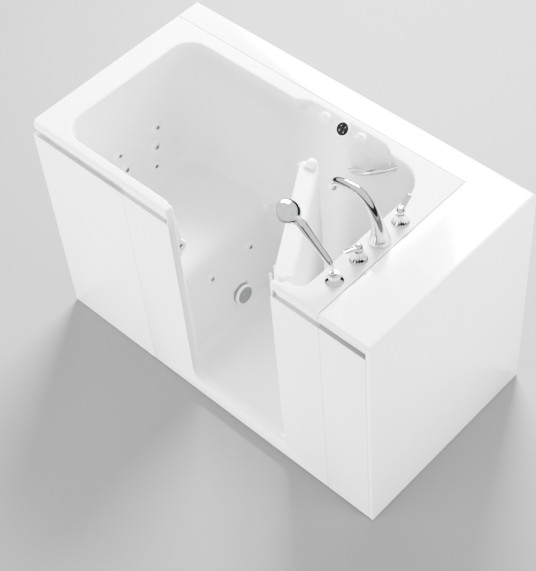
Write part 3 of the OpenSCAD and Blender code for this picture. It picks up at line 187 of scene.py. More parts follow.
def round_bar(radius, length, middle, sides, turn=(0, 0, 0)):
    """A plain round bar, upright unless it is turned."""
    bpy.ops.object.select_all(action="DESELECT")
    bpy.ops.mesh.primitive_cylinder_add(vertices=sides, radius=radius, depth=length,
                                        location=middle, rotation=turn)
    bpy.ops.object.transform_apply(location=True, rotation=True, scale=True)
    return bpy.context.object


def choose(piece, kind, test):
    """Selects the vertices, edges or faces of a piece that pass a test on their middle."""
    mesh = piece.data
    for group in (mesh.vertices, mesh.edges, mesh.polygons):
        group.foreach_set("select", [False] * len(group))
    bpy.context.tool_settings.mesh_select_mode = (kind == "VERT", kind == "EDGE", kind == "FACE")
    if kind == "VERT":
        for v in mesh.vertices:
            v.select = test(v.co)
    elif kind == "EDGE":
        for e in mesh.edges:
            a, b = (mesh.vertices[k].co for k in e.vertices)
            e.select = test((a + b) / 2, b - a)
    else:
        for f in mesh.polygons:
            f.select = test(f.center, f.normal)


def work(piece, kind, test, *steps):
    """Takes a piece into edit mode with a selection, and does the steps there."""
    select_only(piece)
    choose(piece, kind, test)
    bpy.ops.object.mode_set(mode="EDIT")
    for step, values in steps:
        step(**values)
    bpy.ops.object.mode_set(mode="OBJECT")
    return piece


def round_edges(piece, test, radius, steps=8):
    return work(piece, "EDGE", test, (bpy.ops.mesh.bevel, dict(
        offset=radius, segments=steps, affect="EDGES", clamp_overlap=False)))


def finish_with(piece, kind, **settings):
    """Adds a modifier, and applies it at once."""
    select_only(piece)
    bpy.ops.object.modifier_add(type=kind)
    modifier = piece.modifiers[-1]
    for key, value in settings.items():
        setattr(modifier, key, value)
    bpy.ops.object.modifier_apply(modifier=modifier.name)
    return piece


def combine(piece, other, how):
    finish_with(piece, "BOOLEAN", object=other, operation=how, solver="MANIFOLD")
    bpy.data.objects.remove(other)
    return piece


def upright(along):
    return abs(along.normalized().z) > 0.9


def anywhere(middle, normal=None):
    return True


def outline_solid(name, points, push):
    """A solid with the given outline, extruded by push."""
    mesh = bpy.data.meshes.new(name)
    mesh.from_pydata([tuple(p) for p in points], [], [tuple(range(len(points)))])
    made = bpy.data.objects.new(name, mesh)
    bpy.context.scene.collection.objects.link(made)
    work(made, "FACE", anywhere,
         (bpy.ops.mesh.extrude_region_move, dict(TRANSFORM_OT_translate=dict(value=push))),
         (bpy.ops.mesh.select_all, dict(action="SELECT")),
         (bpy.ops.mesh.normals_make_consistent, dict(inside=False)))
    return made


# the bather's space over the seat, which leans out from the seat to the deck
seat_space = block("seat_space", (basin_left, seat_front, seat_top),
                   (seat_right, seat_back, seat_top + cove))
work(seat_space, "FACE", lambda middle, normal: normal.z > 0.9,
     (bpy.ops.mesh.extrude_region_move,
      dict(TRANSFORM_OT_translate=dict(value=(0, 0, space_top - seat_top - cove)))))
for test, move in ((lambda p: p.z > 0.9 and p.x > 0, (basin_right - seat_right, 0, 0)),
                   (lambda p: p.z > 0.9 and p.y < 0, (0, basin_front - seat_front, 0)),
                   (lambda p: p.z > 0.9 and p.y > 0, (0, basin_back - seat_back, 0))):
    work(seat_space, "VERT", test, (bpy.ops.transform.translate, dict(value=move)))
for side_x, side_y, radius in ((-1, -1, 0.085), (1, -1, 0.040), (1, 1, 0.110), (-1, 1, 0.085)):
    round_edges(seat_space, lambda middle, along: upright(along)
                and (middle.x + 0.1) * side_x > 0.5 and (middle.y + 0.06) * side_y > 0.2,
                radius, 12)
round_edges(seat_space, lambda middle, along: middle.z < seat_top + 0.001, cove, 8)

# the foot well, whose walls lean out as well
foot_space = block("foot_space", (riser_foot_x, well_front, well_floor),
                   (well_right, well_back, well_floor + cove))
work(foot_space, "FACE", lambda middle, normal: normal.z > 0.9,
     (bpy.ops.mesh.extrude_region_move,
      dict(TRANSFORM_OT_translate=dict(value=(0, 0, well_height)))))
for test, move in ((lambda p: p.z > 0.4 and p.x > 0, (0.012, 0, 0)),
                   (lambda p: p.z > 0.4 and p.x < 0, (riser_top_x - riser_foot_x, 0, 0)),
                   (lambda p: p.z > 0.4 and p.y < 0, (0, -0.004, 0)),
                   (lambda p: p.z > 0.4 and p.y > 0, (0, 0.0305, 0))):
    work(foot_space, "VERT", test, (bpy.ops.transform.translate, dict(value=move)))
for side_x, side_y, radius in ((-1, -1, 0.055), (1, -1, 0.055), (1, 1, 0.080), (-1, 1, 0.055)):
    round_edges(foot_space, lambda middle, along: upright(along)
                and (middle.x - 0.11) * side_x > 0.2 and (middle.y + 0.07) * side_y > 0.2,
                radius, 10)
round_edges(foot_space, lambda middle, along: middle.z < well_floor + 0.001, cove, 8)
space = combine(seat_space, foot_space, "UNION")

# the seat's rounded front edge: a sharp one less a round bar is what the space gains there
edge_r = 0.060
nose_front, nose_back = -0.297, 0.163
lean = math.atan((riser_foot_x - riser_top_x) / well_height)
edge_z = seat_top - edge_r
edge_x = riser_top_x + (seat_top + cove - edge_z) * math.tan(lean) - edge_r / math.cos(lean)
nose = block("nose", (edge_x, nose_front, edge_z),
             (edge_x + edge_r + 0.004, nose_back, seat_top + 0.001))
combine(nose, round_bar(edge_r, 0.8, (edge_x, -0.06, edge_z), 96, (math.pi / 2, 0, 0)), "DIFFERENCE")
combine(space, nose, "UNION")

# the armrest stands out from the front wall up to the latch wall, and fades into the corner
rest_low, rest_out, rest_r = 0.668, 0.027, 0.022
rest_y = -0.339 + rest_out
rest_start_x = -0.545
rest_section = [(-0.380, rest_low - 0.03), (-0.342, rest_low)]
rest_section += [(rest_y - rest_r + rest_r * math.cos(math.radians(a)),
                  rest_low + 0.042 + rest_r * math.sin(math.radians(a))) for a in range(-75, 62, 8)]
rest_section += [(-0.347, deck_top - 0.085), (-0.372, deck_top - 0.012), (-0.380, deck_top - 0.012)]
armrest = outline_solid("armrest", [(rest_start_x, y, z) for y, z in rest_section],
                        (latch_wall_x - rest_start_x, 0, 0))
combine(space, armrest, "DIFFERENCE")

# the doorway: where the shut door lies, where its hinge edge turns, and the way through the frame
turning_r = 0.047
door_space = block("door_space", (latch_wall_x, frame_inner_y, door_shelf), (hinge_x, -0.30, way_top))
combine(space, door_space, "UNION")
turning = round_bar(turning_r, way_top - door_shelf,
                    (hinge_x, hinge_y, (way_top + door_shelf) / 2), 96)
combine(turning, block("turning_limit", (hinge_x - 0.010, hinge_y - 0.0355, 0), (0.42, -0.27, 1.1)),
        "INTERSECT")
combine(space, turning, "UNION")


def doorway_outline(left, right, y):
    """The doorway seen from the front, with its rounded lower corners."""
    points = [(left, y, way_top)]
    for centre_x, radius, start in ((left + 0.055, 0.055, 180), (right - 0.025, 0.025, 270)):
        points += [(centre_x + radius * math.cos(math.radians(a)), y,
                    sill_top + radius + radius * math.sin(math.radians(a)))
                   for a in range(start, start + 91, 9)]
    return points + [(right, y, way_top)]


combine(space, outline_solid("outer_way", doorway_outline(door_left, door_right, -0.42),
                             (0, 0.041, 0)), "UNION")
combine(space, outline_solid("inner_way", doorway_outline(door_left, hinge_x - 0.022, -0.381),
                             (0, 0.012, 0)), "UNION")

# the control ledge, a slope let into the back rim, with ends that sweep into the rim
ledge_ends = [(-0.150, 0.236), (-0.128, 0.246), (-0.112, 0.257), (-0.095, 0.268), (-0.070, 0.276),
              (-0.035, 0.280), (0.150, 0.280), (0.222, 0.279), (0.252, 0.274), (0.274, 0.263),
              (0.290, 0.252), (0.308, 0.246), (0.330, 0.236)]
ledge_ends += [(0.330, 0.20), (-0.150, 0.20)]
ledge_low, ledge_height = 0.86, 0.12
ledge = outline_solid("ledge", [(x, y, ledge_low) for x, y in ledge_ends], (0, 0, ledge_height))
ledge_foot = Vector((0, 0.2332, 0.917))
ledge_normal = Vector((0, -0.716, 0.698))
work(ledge, "FACE", anywhere,
     (bpy.ops.mesh.bisect, dict(plane_co=ledge_foot, plane_no=ledge_normal,
                                use_fill=True, clear_inner=True)))
combine(space, ledge, "UNION")

# the round dished recess in the back wall, which makes room for the fingers behind the grab bar
recess_middle, recess_radius = (0.169, 0.1808, 0.8596), 0.0776
bpy.ops.object.select_all(action="DESELECT")
bpy.ops.mesh.primitive_uv_sphere_add(segments=64, ring_count=32, radius=recess_radius,
                                     location=recess_middle)
bpy.ops.object.transform_apply(location=True, rotation=True, scale=True)
combine(space, bpy.context.object, "UNION")

# the block that the space is taken out of: deck with its lip, skirt, body and doorway lining
tub = block("tub_moulding", (tub_left, tub_front, lip_bottom), (tub_right, tub_back, deck_top))
round_edges(tub, lambda middle, along: upright(along) and middle.x < 0 and middle.y < 0,
            deck_corner_r, 8)
round_edges(tub, lambda middle, along: middle.z > deck_top - 0.001
            and (middle.x < -0.73 or middle.y < -0.38), deck_edge_r, 6)
skirt_x, skirt_y = tub_left + groove_depth, tub_front + groove_depth
tub_corner = (tub_right, tub_back, lip_bottom + 0.01)
for name, low, high in (
        ("skirt", (skirt_x, skirt_y, groove_bottom - 0.014), tub_corner),
        ("body", (-0.70, skirt_y, 0.015), tub_corner),
        ("lining", (door_left - 0.03, tub_front - 0.006, 0.015),
         (door_right + 0.03, skirt_y + 0.02, groove_bottom - 0.001)),
        ("groove_ends", (door_left - 0.007, tub_front + 0.003, groove_bottom - 0.02),
         (door_right + 0.007, skirt_y + 0.02, lip_bottom + 0.005))):
    combine(tub, block(name, low, high), "UNION")
combine(tub, space, "DIFFERENCE")

# softening the whole as a drawn sheet is soft
tub_grain = 0.0055
finish_with(tub, "REMESH", mode="VOXEL", voxel_size=tub_grain)
finish_with(tub, "SMOOTH", factor=0.5, iterations=5)


def shows(p):
    """Whether a place belongs to the face of the sheet, and not to the block's other sides."""
    if p.z > lip_bottom - 0.003:
        return p.x < tub_right - 0.0012 and p.y < tub_back - 0.0012
    if p.z > groove_bottom - 0.012 and (p.y < skirt_y + 0.0025 or p.x < skirt_x + 0.0025):
        beside_doorway = door_left - 0.009 < p.x < door_right + 0.009 and p.y > tub_front + 0.002
        return p.y > skirt_y - 0.002 or beside_doorway
    if p.y < skirt_y + 0.0025:
        in_doorway = door_left - 0.003 < p.x < door_right + 0.003
        return in_doorway and p.y > tub_front + 0.0043 and p.z > 0.06
    return -0.68 < p.x < 0.50 and p.y < 0.295 and p.z > 0.04


work(tub, "FACE", lambda p, normal: not shows(p), (bpy.ops.mesh.delete, dict(type="FACE")))
work(tub, "FACE", anywhere, (bpy.ops.mesh.dissolve_limited, dict(angle_limit=math.radians(1.2))))
finish_with(tub, "SOLIDIFY", thickness=wall, offset=-1, material_offset=1)

# the hole behind the strike plate, which the latch's bolt runs into
strike_low, strike_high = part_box("latch_strike")
combine(tub, block("bolt_hole", (strike_low.x - 0.025, strike_low.y + 0.004, strike_low.z + 0.0165),
                   (strike_high.x, strike_high.y - 0.004, strike_high.z - 0.0165)), "DIFFERENCE")
tub.data.shade_smooth()
finish_with(tub, "WEIGHTED_NORMAL", mode="FACE_AREA", weight=80)


# its skin of white acrylic is hard, clear and glossy over an even white, with a very slight orange
# peel from the mould and a few places that wiping has dulled
def soft_marks_group():
    """Masks for faint unevenness: peel is a height, wipe is where the gloss is duller."""
    group = bpy.data.node_groups.new("soft_marks", "ShaderNodeTree")
    for way, names in (("INPUT", ("Peel Scale", "Gloss", "Dulling")),
                       ("OUTPUT", ("Peel", "Roughness", "Tone"))):
        for name in names:
            group.interface.new_socket(name, in_out=way, socket_type="NodeSocketFloat")
    n, link = group.nodes, group.links
    given, out = n.new("NodeGroupInput"), n.new("NodeGroupOutput")
    place = n.new("ShaderNodeTexCoord")
    peel = n.new("ShaderNodeTexNoise")
    peel.inputs["Detail"].default_value = 2
    link.new(place.outputs["Object"], peel.inputs["Vector"])
    link.new(given.outputs["Peel Scale"], peel.inputs["Scale"])
    link.new(peel.outputs["Fac"], out.inputs["Peel"])
    wipe = n.new("ShaderNodeTexNoise")
    wipe.inputs["Scale"].default_value = 6
    wipe.inputs["Detail"].default_value = 5
    stretch = n.new("ShaderNodeMapping")
    stretch.inputs["Scale"].default_value = (1, 2.5, 0.6)
    link.new(place.outputs["Object"], stretch.inputs["Vector"])
    link.new(stretch.outputs["Vector"], wipe.inputs["Vector"])
    band = n.new("ShaderNodeMapRange")
    band.inputs["From Min"].default_value = 0.42
    band.inputs["From Max"].default_value = 0.72
    link.new(wipe.outputs["Fac"], band.inputs["Value"])
    dull = n.new("ShaderNodeMath")
    dull.operation = "MULTIPLY_ADD"
    link.new(band.outputs["Result"], dull.inputs[0])
    link.new(given.outputs["Dulling"], dull.inputs[1])
    link.new(given.outputs["Gloss"], dull.inputs[2])
    link.new(dull.outputs["Value"], out.inputs["Roughness"])
    link.new(band.outputs["Result"], out.inputs["Tone"])
    return group


soft_marks = soft_marks_group()


def acrylic(name, colour, tired, gloss=0.13, coat=0.6):
    """Glossy moulded plastic: colour and a slightly different tired tone where it is dulled."""
    paint = bpy.data.materials.new(name)
    paint.use_nodes = True
    n, link = paint.node_tree.nodes, paint.node_tree.links
    shader = n["Principled BSDF"]
    marks = n.new("ShaderNodeGroup")
    marks.node_tree = soft_marks
    marks.inputs["Peel Scale"].default_value = 160
    marks.inputs["Gloss"].default_value = gloss
    marks.inputs["Dulling"].default_value = 0.10
    tone = n.new("ShaderNodeMix")
    tone.data_type = "RGBA"
    tone.inputs["A"].default_value = (*colour, 1)
    tone.inputs["B"].default_value = (*tired, 1)
    link.new(marks.outputs["Tone"], tone.inputs["Factor"])
    link.new(tone.outputs["Result"], shader.inputs["Base Color"])
    link.new(marks.outputs["Roughness"], shader.inputs["Roughness"])
    bump = n.new("ShaderNodeBump")
    bump.inputs["Strength"].default_value = 0.04
    bump.inputs["Distance"].default_value = 0.0004
    link.new(marks.outputs["Peel"], bump.inputs["Height"])
    link.new(bump.outputs["Normal"], shader.inputs["Normal"])
    shader.inputs["Coat Weight"].default_value = coat
    shader.inputs["Coat Roughness"].default_value = 0.06
    shader.inputs["IOR"].default_value = 1.49
    return paint


white_acrylic = acrylic("white_acrylic", (0.85, 0.855, 0.86), (0.83, 0.835, 0.835))

# painted shade under the lip: a mask for the groove, its shelf and the panels' tops darkens the
# skin's colour there, in place of the shade that falls in that hollow
groove_n, groove_link = white_acrylic.node_tree.nodes, white_acrylic.node_tree.links
groove_place = groove_n.new("ShaderNodeTexCoord")
groove_split = groove_n.new("ShaderNodeSeparateXYZ")
groove_link.new(groove_place.outputs["Object"], groove_split.inputs["Vector"])


def groove_step(axis, edge, rises, soft=0.0006):
    side = groove_n.new("ShaderNodeMapRange")
    side.inputs["From Min"].default_value = edge - soft
    side.inputs["From Max"].default_value = edge + soft
    side.inputs["To Min"].default_value = 0 if rises else 1
    side.inputs["To Max"].default_value = 1 if rises else 0
    groove_link.new(groove_split.outputs[axis], side.inputs["Value"])
    return side.outputs["Result"]


def groove_join(how, first, second):
    joined = groove_n.new("ShaderNodeMath")
    joined.operation = how
    groove_link.new(first, joined.inputs[0])
    groove_link.new(second, joined.inputs[1])
    return joined.outputs["Value"]


groove_shade_mask = groove_join("MAXIMUM", groove_step("Y", skirt_y + 0.003, False),
                          groove_step("X", skirt_x + 0.003, False))
for axis, edge, rises in (("Z", groove_bottom - 0.0004, True), ("Z", lip_bottom + 0.0012, False),
                          ("Y", tub_front + 0.0014, True), ("X", tub_left + 0.0014, True)):
    groove_shade_mask = groove_join("MULTIPLY", groove_shade_mask, groove_step(axis, edge, rises))
# the grey of the painted shade, mixed into the skin's colour inside the groove's mask
groove_painted_shade = groove_n.new("ShaderNodeMix")
groove_painted_shade.data_type = "RGBA"
groove_painted_shade.inputs["B"].default_value = (0.38, 0.38, 0.375, 1)
groove_shader = groove_n["Principled BSDF"]
groove_link.new(groove_shader.inputs["Base Color"].links[0].from_socket, groove_painted_shade.inputs["A"])
groove_link.new(groove_shade_mask, groove_painted_shade.inputs["Factor"])
groove_link.new(groove_painted_shade.outputs["Result"], groove_shader.inputs["Base Color"])
fibre = acrylic("glass_fibre_back", (0.62, 0.61, 0.56), (0.50, 0.49, 0.44), 0.45, 0.0)
tub.data.materials.append(white_acrylic)
tub.data.materials.append(fibre)

# which body each CAD node rides on
bodies = frame["record"]["behaviour"]["bodies"]
body_of_node = {node: body for body, held in bodies.items() for node in held}


def stands_for(piece, *nodes):
    """The piece takes the place and the body of its nodes, which are hidden."""
    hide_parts(*nodes)
    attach(piece, body_of_node[nodes[0]])
    return piece


stands_for(tub, "tub_shell")

# The deck extension and the panels: white acrylic sheet, folded and trimmed, with eased edges and
# open seams. The panels stand on the frame's front; the left one comes off for the pump. Their
# shapes are right in the CAD, so each is a copy of its node, merged into one clean mesh and eased.
sheet_acrylic = acrylic("sheet_acrylic", (0.89, 0.895, 0.90), (0.87, 0.875, 0.875))
edge_angle = math.radians(35)


def copy_of(node):
    """A copy of a CAD node as one clean mesh."""
    bpy.ops.object.select_all(action="DESELECT")
    source = frame["nodes"][node]
    made = source.copy()
    made.data = source.data.copy()
    made.name = node + "_piece"
    made.data.materials.clear()
    made.parent = None
    for key in list(made.keys()):
        del made[key]
    bpy.context.scene.collection.objects.link(made)
    made.hide_render = made.hide_viewport = False
    work(made, "FACE", anywhere, (bpy.ops.mesh.remove_doubles, dict(threshold=0.00001)))
    return made


def dressed(node, *paints, ease, steps=3):
    """A copy of a node with its edges eased: by how much, and in how many steps."""
    made = copy_of(node)
    work(made, "FACE", anywhere, (bpy.ops.mesh.dissolve_limited, dict(angle_limit=math.radians(0.6))))
    finish_with(made, "BEVEL", width=ease, segments=steps, limit_method="ANGLE",
                angle_limit=edge_angle, use_clamp_overlap=True, harden_normals=False)
    select_only(made)
    bpy.ops.object.shade_smooth_by_angle(angle=edge_angle)
    for paint in paints:
        made.data.materials.append(paint)
    return stands_for(made, node)


for node in ("deck_extension", "front_panel_center", "front_panel_left", "front_panel_right"):
    dressed(node, white_acrylic, ease=0.0012)
dressed("end_panel_right", sheet_acrylic, ease=0.0012)

# The door: two white mouldings closed on each other, hollow, thick where it meets the water. Its
# inner face and its top run into each other in one soft round. It is made lying along the doorway,
# with its hinge at the origin, u along it, v into the bath, and then turned to where it stands.
door_outer_v, door_inner_v, door_foot_v = -0.0195, 0.0445, 0.0105
door_low, door_top, door_reach = 0.056, 0.965, 0.473
swell_low, swell_rise = 0.110, 0.320
top_round, inner_round, outer_round, hinge_round = 0.024, 0.016, 0.010, 0.032
hinge_round_v = door_inner_v - hinge_round
hinge_heights, pocket_r, pocket_height = (0.1544, 0.4825, 0.8106), 0.046, 0.058
spindle_u, spindle_v, spindle_way_r, bolt_z, bolt_way_r = -0.451, 0.006, 0.0062, 0.725, 0.007
door_turn = math.radians(-57.5)


def quarter():
    """The sine and the cosine of each angle of a quarter round, ten degrees apart."""
    return [(math.sin(math.radians(a)), math.cos(math.radians(a))) for a in range(0, 91, 10)]


door_section = [(door_outer_v, door_low), (door_foot_v, door_low)]
for k in range(13):
    t = k / 12
    door_section.append((door_foot_v + (door_inner_v - door_foot_v) * (t + t * t) / 2,
                         swell_low + swell_rise * t))
door_section += [(door_inner_v - top_round * (1 - cos), door_top - top_round * (1 - sin))
                 for sin, cos in quarter()]
door_section += [(door_outer_v + 0.005, door_top), (door_outer_v, door_top - 0.005)]
door = outline_solid("door_moulding", [(-0.55, v, z) for v, z in door_section], (0.65, 0, 0))
door_plan = [(-door_reach + inner_round * (1 - cos), door_inner_v - inner_round * (1 - sin))
             for sin, cos in quarter()]
door_plan += [(hinge_round * math.sin(math.radians(a)),
               hinge_round_v + hinge_round * math.cos(math.radians(a))) for a in range(0, 181, 10)]
door_plan += [(-door_reach + outer_round * (1 - sin), door_outer_v + outer_round * (1 - cos))
              for sin, cos in quarter()]
combine(door, outline_solid("door_plan", [(u, v, 0.02) for u, v in door_plan], (0, 0, 1.0)),
        "INTERSECT")
door_grain = 0.005
finish_with(door, "REMESH", mode="VOXEL", voxel_size=door_grain)
finish_with(door, "SMOOTH", factor=0.5, iterations=5)

# pockets in its hinge edge, in which the fixed brackets turn
for hinge_z in hinge_heights:
    pocket = round_bar(pocket_r, pocket_height, (0, 0, hinge_z), 72)
    combine(pocket, block("pocket_limit", (-0.012, -0.0145, 0), (0.07, 0.07, 1.0)), "INTERSECT")
    combine(door, pocket, "DIFFERENCE")

# room for the latch inside, and the ways for its spindle, its bolt and the bolt's arm
latch_room = block("latch_room", (-0.462, -0.013, 0.690), (-0.380, 0.034, 0.945))
combine(latch_room, round_bar(spindle_way_r, 0.05, (spindle_u, spindle_v, 0.95), 32), "UNION")
combine(latch_room, block("bolt_way", (-0.50, spindle_v - bolt_way_r, bolt_z - bolt_way_r),
                          (-0.45, spindle_v + bolt_way_r, bolt_z + bolt_way_r)), "UNION")
combine(latch_room, block("bolt_arm_way", (-0.4690, -0.0125, bolt_z - 0.0075),
                          (-0.45, 0.0135, bolt_z + 0.0075)), "UNION")
combine(door, latch_room, "DIFFERENCE")
door.data.transform(Matrix.Translation((hinge_x, hinge_y, 0)) @ Matrix.Rotation(door_turn, 4, "Z"))
select_only(door)
bpy.ops.object.shade_smooth_by_angle(angle=math.radians(50))
door.data.materials.append(white_acrylic)
stands_for(door, "door_outer_shell", "door_inner_shell")

# The door's seal: an extruded strip of pale silicone, pressed into the door's outer face along
# three edges, where it meets the doorway when the door is shut.
seal_rubber = acrylic("seal_rubber", (0.66, 0.66, 0.65), (0.58, 0.58, 0.56), 0.55, 0.0)
dressed("door_seal", seal_rubber, ease=0.0008)

# The hinges and the latch: stainless steel, cut and tumbled, so every edge is eased and the faces
# carry fine lines; the round handle on the door is a white moulding.
def metal_marks_group():
    """Masks for bare and plated metal: fine lines from finishing, and spots where water has dried."""
    group = bpy.data.node_groups.new("metal_marks", "ShaderNodeTree")
    group.interface.new_socket("Along", in_out="INPUT", socket_type="NodeSocketVector")
    for way, names in (("INPUT", ("Polish", "Dulling")), ("OUTPUT", ("Lines", "Roughness", "Tone"))):
        for name in names:
            group.interface.new_socket(name, in_out=way, socket_type="NodeSocketFloat")
    n, link = group.nodes, group.links
    given, out = n.new("NodeGroupInput"), n.new("NodeGroupOutput")
    place = n.new("ShaderNodeTexCoord")
    stretch = n.new("ShaderNodeVectorMath")
    stretch.operation = "MULTIPLY"
    link.new(place.outputs["Object"], stretch.inputs[0])
    link.new(given.outputs["Along"], stretch.inputs[1])
    lines = n.new("ShaderNodeTexNoise")
    lines.inputs["Scale"].default_value = 1
    lines.inputs["Detail"].default_value = 3
    link.new(stretch.outputs["Vector"], lines.inputs["Vector"])
    link.new(lines.outputs["Fac"], out.inputs["Lines"])
    spots = n.new("ShaderNodeTexNoise")
    spots.inputs["Scale"].default_value = 42
    spots.inputs["Detail"].default_value = 4
    link.new(place.outputs["Object"], spots.inputs["Vector"])
    dried = n.new("ShaderNodeMapRange")
    dried.inputs["From Min"].default_value = 0.50
    dried.inputs["From Max"].default_value = 0.72
    link.new(spots.outputs["Fac"], dried.inputs["Value"])
    link.new(dried.outputs["Result"], out.inputs["Tone"])
    dull = n.new("ShaderNodeMath")
    dull.operation = "MULTIPLY_ADD"
    link.new(dried.outputs["Result"], dull.inputs[0])
    link.new(given.outputs["Dulling"], dull.inputs[1])
    link.new(given.outputs["Polish"], dull.inputs[2])
    link.new(dull.outputs["Value"], out.inputs["Roughness"])
    return group


metal_marks = metal_marks_group()


def metal(name, colour, tired, polish, dulling, along, depth, bare=True):
    """Plated, bare or painted metal: its lines run along the axis with the smallest number."""
    finish = bpy.data.materials.new(name)
    finish.use_nodes = True
    n, link = finish.node_tree.nodes, finish.node_tree.links
    shader = n["Principled BSDF"]
    shader.inputs["Metallic"].default_value = 1 if bare else 0
    marks = n.new("ShaderNodeGroup")
    marks.node_tree = metal_marks
    marks.inputs["Along"].default_value = along
    marks.inputs["Polish"].default_value = polish
    marks.inputs["Dulling"].default_value = dulling
    tone = n.new("ShaderNodeMix")
    tone.data_type = "RGBA"
    tone.inputs["A"].default_value = (*colour, 1)
    tone.inputs["B"].default_value = (*tired, 1)
    link.new(marks.outputs["Tone"], tone.inputs["Factor"])
    link.new(tone.outputs["Result"], shader.inputs["Base Color"])
    link.new(marks.outputs["Roughness"], shader.inputs["Roughness"])
    bump = n.new("ShaderNodeBump")
    bump.inputs["Strength"].default_value = 0.25
    bump.inputs["Distance"].default_value = depth
    link.new(marks.outputs["Lines"], bump.inputs["Height"])
    link.new(bump.outputs["Normal"], shader.inputs["Normal"])
    return finish


stainless = metal("stainless", (0.60, 0.60, 0.61), (0.50, 0.50, 0.50), 0.26, 0.16,
                  (900, 900, 60), 0.0001)
handle_plastic = acrylic("handle_plastic", (0.84, 0.845, 0.85), (0.80, 0.80, 0.79), 0.18, 0.4)
for node in ("hinge_brackets", "hinge_pins", "door_knuckles", "latch_strike", "latch_bolt"):
    dressed(node, stainless, ease=0.0006, steps=2)
dressed("door_handle", handle_plastic, ease=0.002)

# The jets: white moulded flanges clamped through the shell with nuts, and a turning nozzle in each,
# whose ball is grey round the hole that the water comes through.
jet_plastic = acrylic("jet_plastic", (0.94, 0.945, 0.95), (0.90, 0.90, 0.90), 0.2, 0.4)
nozzle_plastic = acrylic("nozzle_plastic", (0.84, 0.845, 0.85), (0.78, 0.78, 0.78), 0.25, 0.3)
ball_plastic = acrylic("nozzle_ball", (0.20, 0.205, 0.21), (0.15, 0.15, 0.15), 0.3, 0.2)
ball_r = 0.0090
dressed("jet_bodies", jet_plastic, ease=0.0012)
for k in range(1, 9):
    nozzle = dressed("jet_nozzle_%d" % k, nozzle_plastic, ball_plastic, ease=0.0006, steps=2)
    middle = sum(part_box("jet_nozzle_%d" % k), Vector()) / 2
    for face in nozzle.data.polygons:
        corners = [nozzle.data.vertices[v].co for v in face.vertices]
        if max(math.hypot(p.y - middle.y, p.z - middle.z) for p in corners) < ball_r:
            face.material_index = 1

# The suction: a white body in the riser, and its grey screwed cover, with rings of holes inside a
# pale chamfered rim.
cover_plastic = acrylic("cover_plastic", (0.27, 0.275, 0.28), (0.20, 0.205, 0.21), 0.32, 0.2)
dressed("suction_body", jet_plastic, ease=0.001)
cover = dressed("suction_cover", cover_plastic, jet_plastic, ease=0.001, steps=2)
cover_middle, rim_r = sum(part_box("suction_cover"), Vector()) / 2, 0.032
for face in cover.data.polygons:
    reach = math.hypot(face.center.y - cover_middle.y, face.center.z - cover_middle.z)
    if reach > rim_r and 0.15 < face.normal.x < 0.985:
        face.material_index = 1
dressed("screws", stainless, ease=0.0004, steps=2)

# The pump under the seat, of black glass-filled plastic with a dark enamelled motor, its rigid
# white pipes, the grey air hoses to the jets, and the switch box on the rear rail.
pump_plastic = acrylic("pump_plastic", (0.035, 0.035, 0.04), (0.06, 0.06, 0.06), 0.5, 0.0)
motor_paint = metal("motor_paint", (0.05, 0.055, 0.065), (0.08, 0.08, 0.08), 0.38, 0.2,
                    (300, 300, 300), 0.0002, False)
pipe_plastic = acrylic("pipe_plastic", (0.80, 0.80, 0.77), (0.70, 0.70, 0.66), 0.36, 0.0)
air_hose = acrylic("air_hose", (0.66, 0.67, 0.68), (0.55, 0.55, 0.55), 0.45, 0.0)
box_plastic = acrylic("box_plastic", (0.04, 0.04, 0.045), (0.07, 0.07, 0.07), 0.45, 0.0)
dressed("pump_wet_end", pump_plastic, ease=0.003)
dressed("pump_motor", motor_paint, ease=0.0015)
for node in ("jet_manifold", "suction_pipe", "drain_pipe"):
    dressed(node, pipe_plastic, ease=0.0008, steps=2)
dressed("air_lines", air_hose, ease=0.0005, steps=2)
dressed("control_box", box_plastic, ease=0.003)

# The controls on the ledge: a white ring round a black pad with four keys, and a ringed white air
# knob at each side, all pushed through the ledge and nutted from below.
control_plastic = acrylic("control_plastic", (0.95, 0.955, 0.96), (0.92, 0.92, 0.92), 0.16, 0.5)
pad_plastic = acrylic("pad_plastic", (0.012, 0.012, 0.013), (0.03, 0.03, 0.03), 0.32, 0.1)
mark_plastic = acrylic("pad_mark", (0.55, 0.55, 0.55), (0.45, 0.45, 0.45), 0.4, 0.0)
bezel = dressed("control_bezel", control_plastic, pad_plastic, ease=0.0008)
pad_buttons = ["pad_button_%d" % k for k in (1, 2, 3, 4)]
pad_middle = sum((corner for node in pad_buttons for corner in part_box(node)), Vector()) / 8
pad_r, pad_low, pad_high = 0.0236, -0.008, 0.0042
for face in bezel.data.polygons:
    height = (face.center - pad_middle).dot(ledge_normal)
    across = (face.center - pad_middle - ledge_normal * height).length
    if across < pad_r and pad_low < height < pad_high:
        face.material_index = 1
for node in ("air_control_bodies", "air_knob_left", "air_knob_right"):
    dressed(node, control_plastic, ease=0.0014)
for node in pad_buttons:
    button = dressed(node, pad_plastic, mark_plastic, ease=0.0006, steps=2)
    top = max((v.co - pad_middle).dot(ledge_normal) for v in button.data.vertices)
    work(button, "FACE", lambda p, normal: (p - pad_middle).dot(ledge_normal) > top - 0.0001
         and normal.dot(ledge_normal) > 0.99, (bpy.ops.mesh.inset, dict(thickness=0.0028)))
    for face in button.data.polygons:
        if face.select:
            face.material_index = 1

# The spout: one brass casting, polished and chrome plated, with the faint spots that drying water
# leaves. Its round foot stands on the deck, draws in, arches over the bath and turns down.
chrome = metal("chrome_plate", (0.70, 0.705, 0.715), (0.63, 0.635, 0.64), 0.045, 0.06,
               (20, 20, 20), 0.00005)
spout_low, spout_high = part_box("spout")
spout_foot_r, spout_shank_r, spout_shank = 0.0385, 0.014, 0.050
spout_foot = Vector((spout_high.x - 0.039, (spout_low.y + spout_high.y) / 2, spout_low.z + spout_shank))
spout_reach, spout_rise, spout_drop = 0.184, 0.166, 0.038
spout_r, spout_flare = 0.0155, 0.0215


